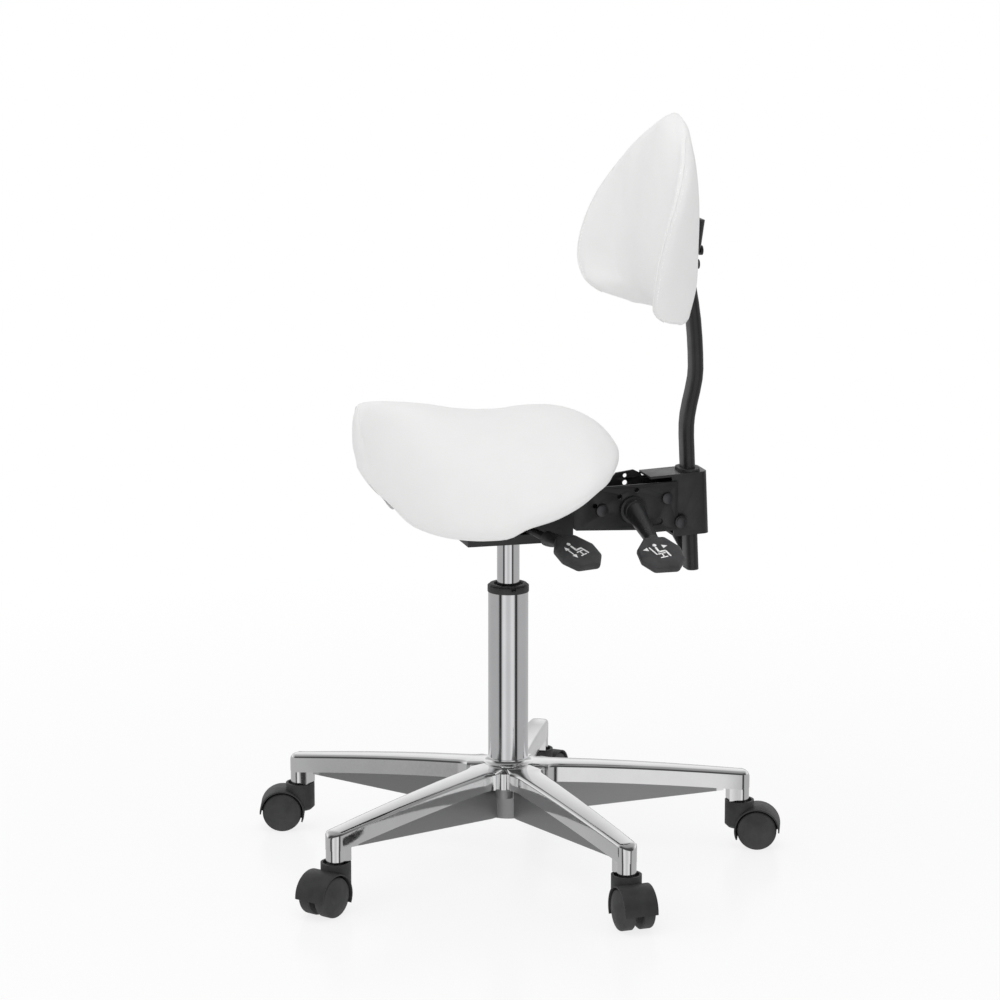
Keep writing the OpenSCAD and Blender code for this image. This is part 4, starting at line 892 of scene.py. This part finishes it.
# ---- Star base: polished above a line that falls along each arm, and matte cast below it, in metres ----
STAR_REACH, STAR_FALL_POWER = 0.2985, 1.4
STAR_MATTE_TOP, STAR_MATTE_FALL, STAR_MATTE_REACH = 0.104, 0.027, 0.268
LINE_BLUR, REACH_BLUR = 0.0003, 0.002


def star_metal():
    m = metal("star aluminium", *POLISH)
    n = Nodes(m)
    split = n.add("ShaderNodeSeparateXYZ")
    n.link(n.coord.outputs["Object"], split.inputs[0])
    x, y, z = (split.outputs[k] for k in ("X", "Y", "Z"))
    r = n.maths("SQRT", n.maths("ADD", n.maths("MULTIPLY", x, x), n.maths("MULTIPLY", y, y)))
    out = n.maths("POWER", n.maths("DIVIDE", r, STAR_REACH), STAR_FALL_POWER)
    line = n.maths("SUBTRACT", STAR_MATTE_TOP, n.maths("MULTIPLY", out, STAR_MATTE_FALL))
    below = n.between(n.maths("SUBTRACT", line, z), 0, 1, -LINE_BLUR, LINE_BLUR)
    inside = n.between(r, 1, 0, STAR_MATTE_REACH - REACH_BLUR, STAR_MATTE_REACH)
    mask = n.maths("MULTIPLY", below, inside)
    for socket, matte in (("Base Color", (*MATTE_COLOR, 1)), ("Roughness", (*[MATTE_ROUGH] * 3, 1))):
        old = n.p.inputs[socket].links[0].from_socket
        both = n.add("ShaderNodeMix", data_type="RGBA")
        n.link(mask, both.inputs["Factor"])
        n.link(old, both.inputs["A"])
        both.inputs["B"].default_value = matte
        n.link(both.outputs["Result"], n.p.inputs[socket])
    return m


frame["nodes"]["star_base"].data.materials[0] = star_metal()

# ---- Studio ----
CAMERA_AT = Vector((4.3714, -1.2123, 1.4035))
CAMERA_FORWARD = Vector((-0.9440, 0.2595, -0.2036))
toward = Vector((-CAMERA_FORWARD.x, -CAMERA_FORWARD.y, 0)).normalized()
sideways = Vector((-toward.y, toward.x, 0))


class WorldNodes(Tree):
    """Shorthand for adding nodes to the world."""

    def dot(self, direction, v):
        n = self.add("ShaderNodeVectorMath", operation="DOT_PRODUCT")
        n.inputs[1].default_value = v
        self.link(direction, n.inputs[0])
        return n.outputs["Value"]

    def ramp(self, at, stops):
        """A grey value by place."""
        n = self.add("ShaderNodeValToRGB")
        e = n.color_ramp.elements
        while len(e) > 1:
            e.remove(e[-1])
        e[0].position = stops[0][0]
        e[0].color = (*[stops[0][1]] * 3, 1)
        for place, value in stops[1:]:
            e.new(place).color = (value, value, value, 1)
        self.link(at, n.inputs[0])
        return n.outputs[0]

    def share(self, value, low, high):
        """0 at low, 1 at high."""
        n = self.add("ShaderNodeMapRange")
        n.inputs["From Min"].default_value = low
        n.inputs["From Max"].default_value = high
        self.link(value, n.inputs["Value"])
        return n.outputs["Result"]

    def mixed(self, share, a, b):
        n = self.add("ShaderNodeMix", data_type="RGBA")
        self.link(share, n.inputs["Factor"])
        self.link(a, n.inputs["A"])
        self.link(b, n.inputs["B"])
        return n.outputs["Result"]

    def background(self, strength=1.0, color=None):
        n = self.add("ShaderNodeBackground")
        n.inputs["Strength"].default_value = strength
        if color:
            self.link(color, n.inputs["Color"])
        else:
            n.inputs["Color"].default_value = (1, 1, 1, 1)
        return n.outputs[0]

    def choose(self, test, no, yes):
        n = self.add("ShaderNodeMixShader")
        for source, socket in zip((test, no, yes), n.inputs):
            self.link(source, socket)
        return n.outputs[0]


EVEN_LIGHT = 0.68
# greys of the studio: round the horizon from the camera's side (0) to the side opposite it (1), and up from
# the horizon (0) to the zenith (1) on the camera's side and on the far side
AROUND = [(0, .66), (.05, .70), (.11, .88), (.17, .84), (.205, .5), (.225, .05), (.285, .04), (.31, .42),
          (.36, .50), (.6, .50), (.8, .54), (1, .6)]
NEAR_UP = [(0, .30), (.12, .10), (.35, .06), (.6, .10), (.8, .32), (1, .34)]
FAR_UP = [(0, .95), (.25, .98), (.45, .8), (.7, .5), (1, .34)]
NEAR_TO_FAR, HORIZON_TO_UP = (0.25, -0.25), (0.02, 0.14)  # where one blends into the other


def studio_world():
    """White to the camera, even light on the object, and a studio with two dark flags for metal to show."""
    world = bpy.data.worlds.new("studio")
    scene.world = world
    world.use_nodes = True
    world.node_tree.nodes.clear()
    n = WorldNodes(world.node_tree)
    direction = n.add("ShaderNodeTexCoord").outputs["Generated"]
    ahead, across, up = n.dot(direction, toward), n.dot(direction, sideways), n.dot(direction, (0, 0, 1))
    turn = n.maths("DIVIDE", n.maths("ABSOLUTE", n.maths("ARCTAN2", across, ahead)), math.pi)
    height = n.maths("MAXIMUM", up, 0.0)
    overhead = n.mixed(n.share(ahead, *NEAR_TO_FAR), n.ramp(height, NEAR_UP), n.ramp(height, FAR_UP))
    whole = n.mixed(n.share(up, *HORIZON_TO_UP), n.ramp(turn, AROUND), overhead)
    rays = n.add("ShaderNodeLightPath")
    lighting = n.choose(rays.outputs["Is Glossy Ray"], n.background(EVEN_LIGHT), n.background(color=whole))
    seen = n.choose(rays.outputs["Is Camera Ray"], lighting, n.background())
    n.link(seen, n.add("ShaderNodeOutputWorld").inputs[0])


studio_world()


def area_light(name, at, aim, size, power):
    data = bpy.data.lights.new(name, "AREA")
    data.shape = "RECTANGLE"
    data.size, data.size_y = size
    data.energy = power
    o = bpy.data.objects.new(name, data)
    o.location = at
    o.rotation_euler = (Vector(aim) - Vector(at)).to_track_quat("-Z", "Y").to_euler()
    o.visible_glossy = False
    scene.collection.objects.link(o)


area_light("overhead", (0.6, -0.6, 3.2), (0, 0, 0.4), (2.6, 2.6), 31)
area_light("front", (2.6, -2.8, 1.8), (0, 0, 0.5), (1.6, 1.8), 5)


FLOOR_R, FLOOR_SIDES = 7, 96
GLOW, GLOW_FROM, GLOW_FULL = (0.8, 1), 0.55, 1.6  # share of glow near the stool and far off, and where


def floor():
    """A pale floor that mirrors the stool, fades to white with distance and isn't seen in reflections."""
    me = bpy.data.meshes.new("floor")
    ring = [(FLOOR_R * math.cos(a), FLOOR_R * math.sin(a), 0) for a in round_angles(FLOOR_SIDES)]
    me.from_pydata(ring, [], [tuple(range(FLOOR_SIDES))])
    o = bpy.data.objects.new("floor", me)
    scene.collection.objects.link(o)
    m = new_material("floor", (0.93, 0.93, 0.93), 0.22, Specular_IOR_Level=0.35)
    n = Nodes(m)
    out = m.node_tree.nodes["Material Output"]
    glow = n.add("ShaderNodeEmission")
    clear = n.add("ShaderNodeBsdfTransparent")
    rays = n.add("ShaderNodeLightPath")
    far = n.add("ShaderNodeVectorMath", operation="LENGTH")
    n.link(n.coord.outputs["Object"], far.inputs[0])
    fade = n.between(far.outputs["Value"], *GLOW, GLOW_FROM, GLOW_FULL)
    a, b = n.add("ShaderNodeMixShader"), n.add("ShaderNodeMixShader")
    n.link(fade, a.inputs[0])
    n.link(n.p.outputs[0], a.inputs[1])
    n.link(glow.outputs[0], a.inputs[2])
    n.link(rays.outputs["Is Glossy Ray"], b.inputs[0])
    n.link(a.outputs[0], b.inputs[1])
    n.link(clear.outputs[0], b.inputs[2])
    n.link(b.outputs[0], out.inputs[0])
    me.materials.append(m)


floor()

camera_data = bpy.data.cameras.new("camera")
camera_data.lens = 135.0
camera_data.sensor_width = 36.0
camera_data.clip_end = 50
camera = bpy.data.objects.new("camera", camera_data)
camera.location = CAMERA_AT
camera.rotation_euler = CAMERA_FORWARD.to_track_quat("-Z", "Y").to_euler()
scene.collection.objects.link(camera)
scene.camera = camera
scene.view_settings.view_transform = "Standard"
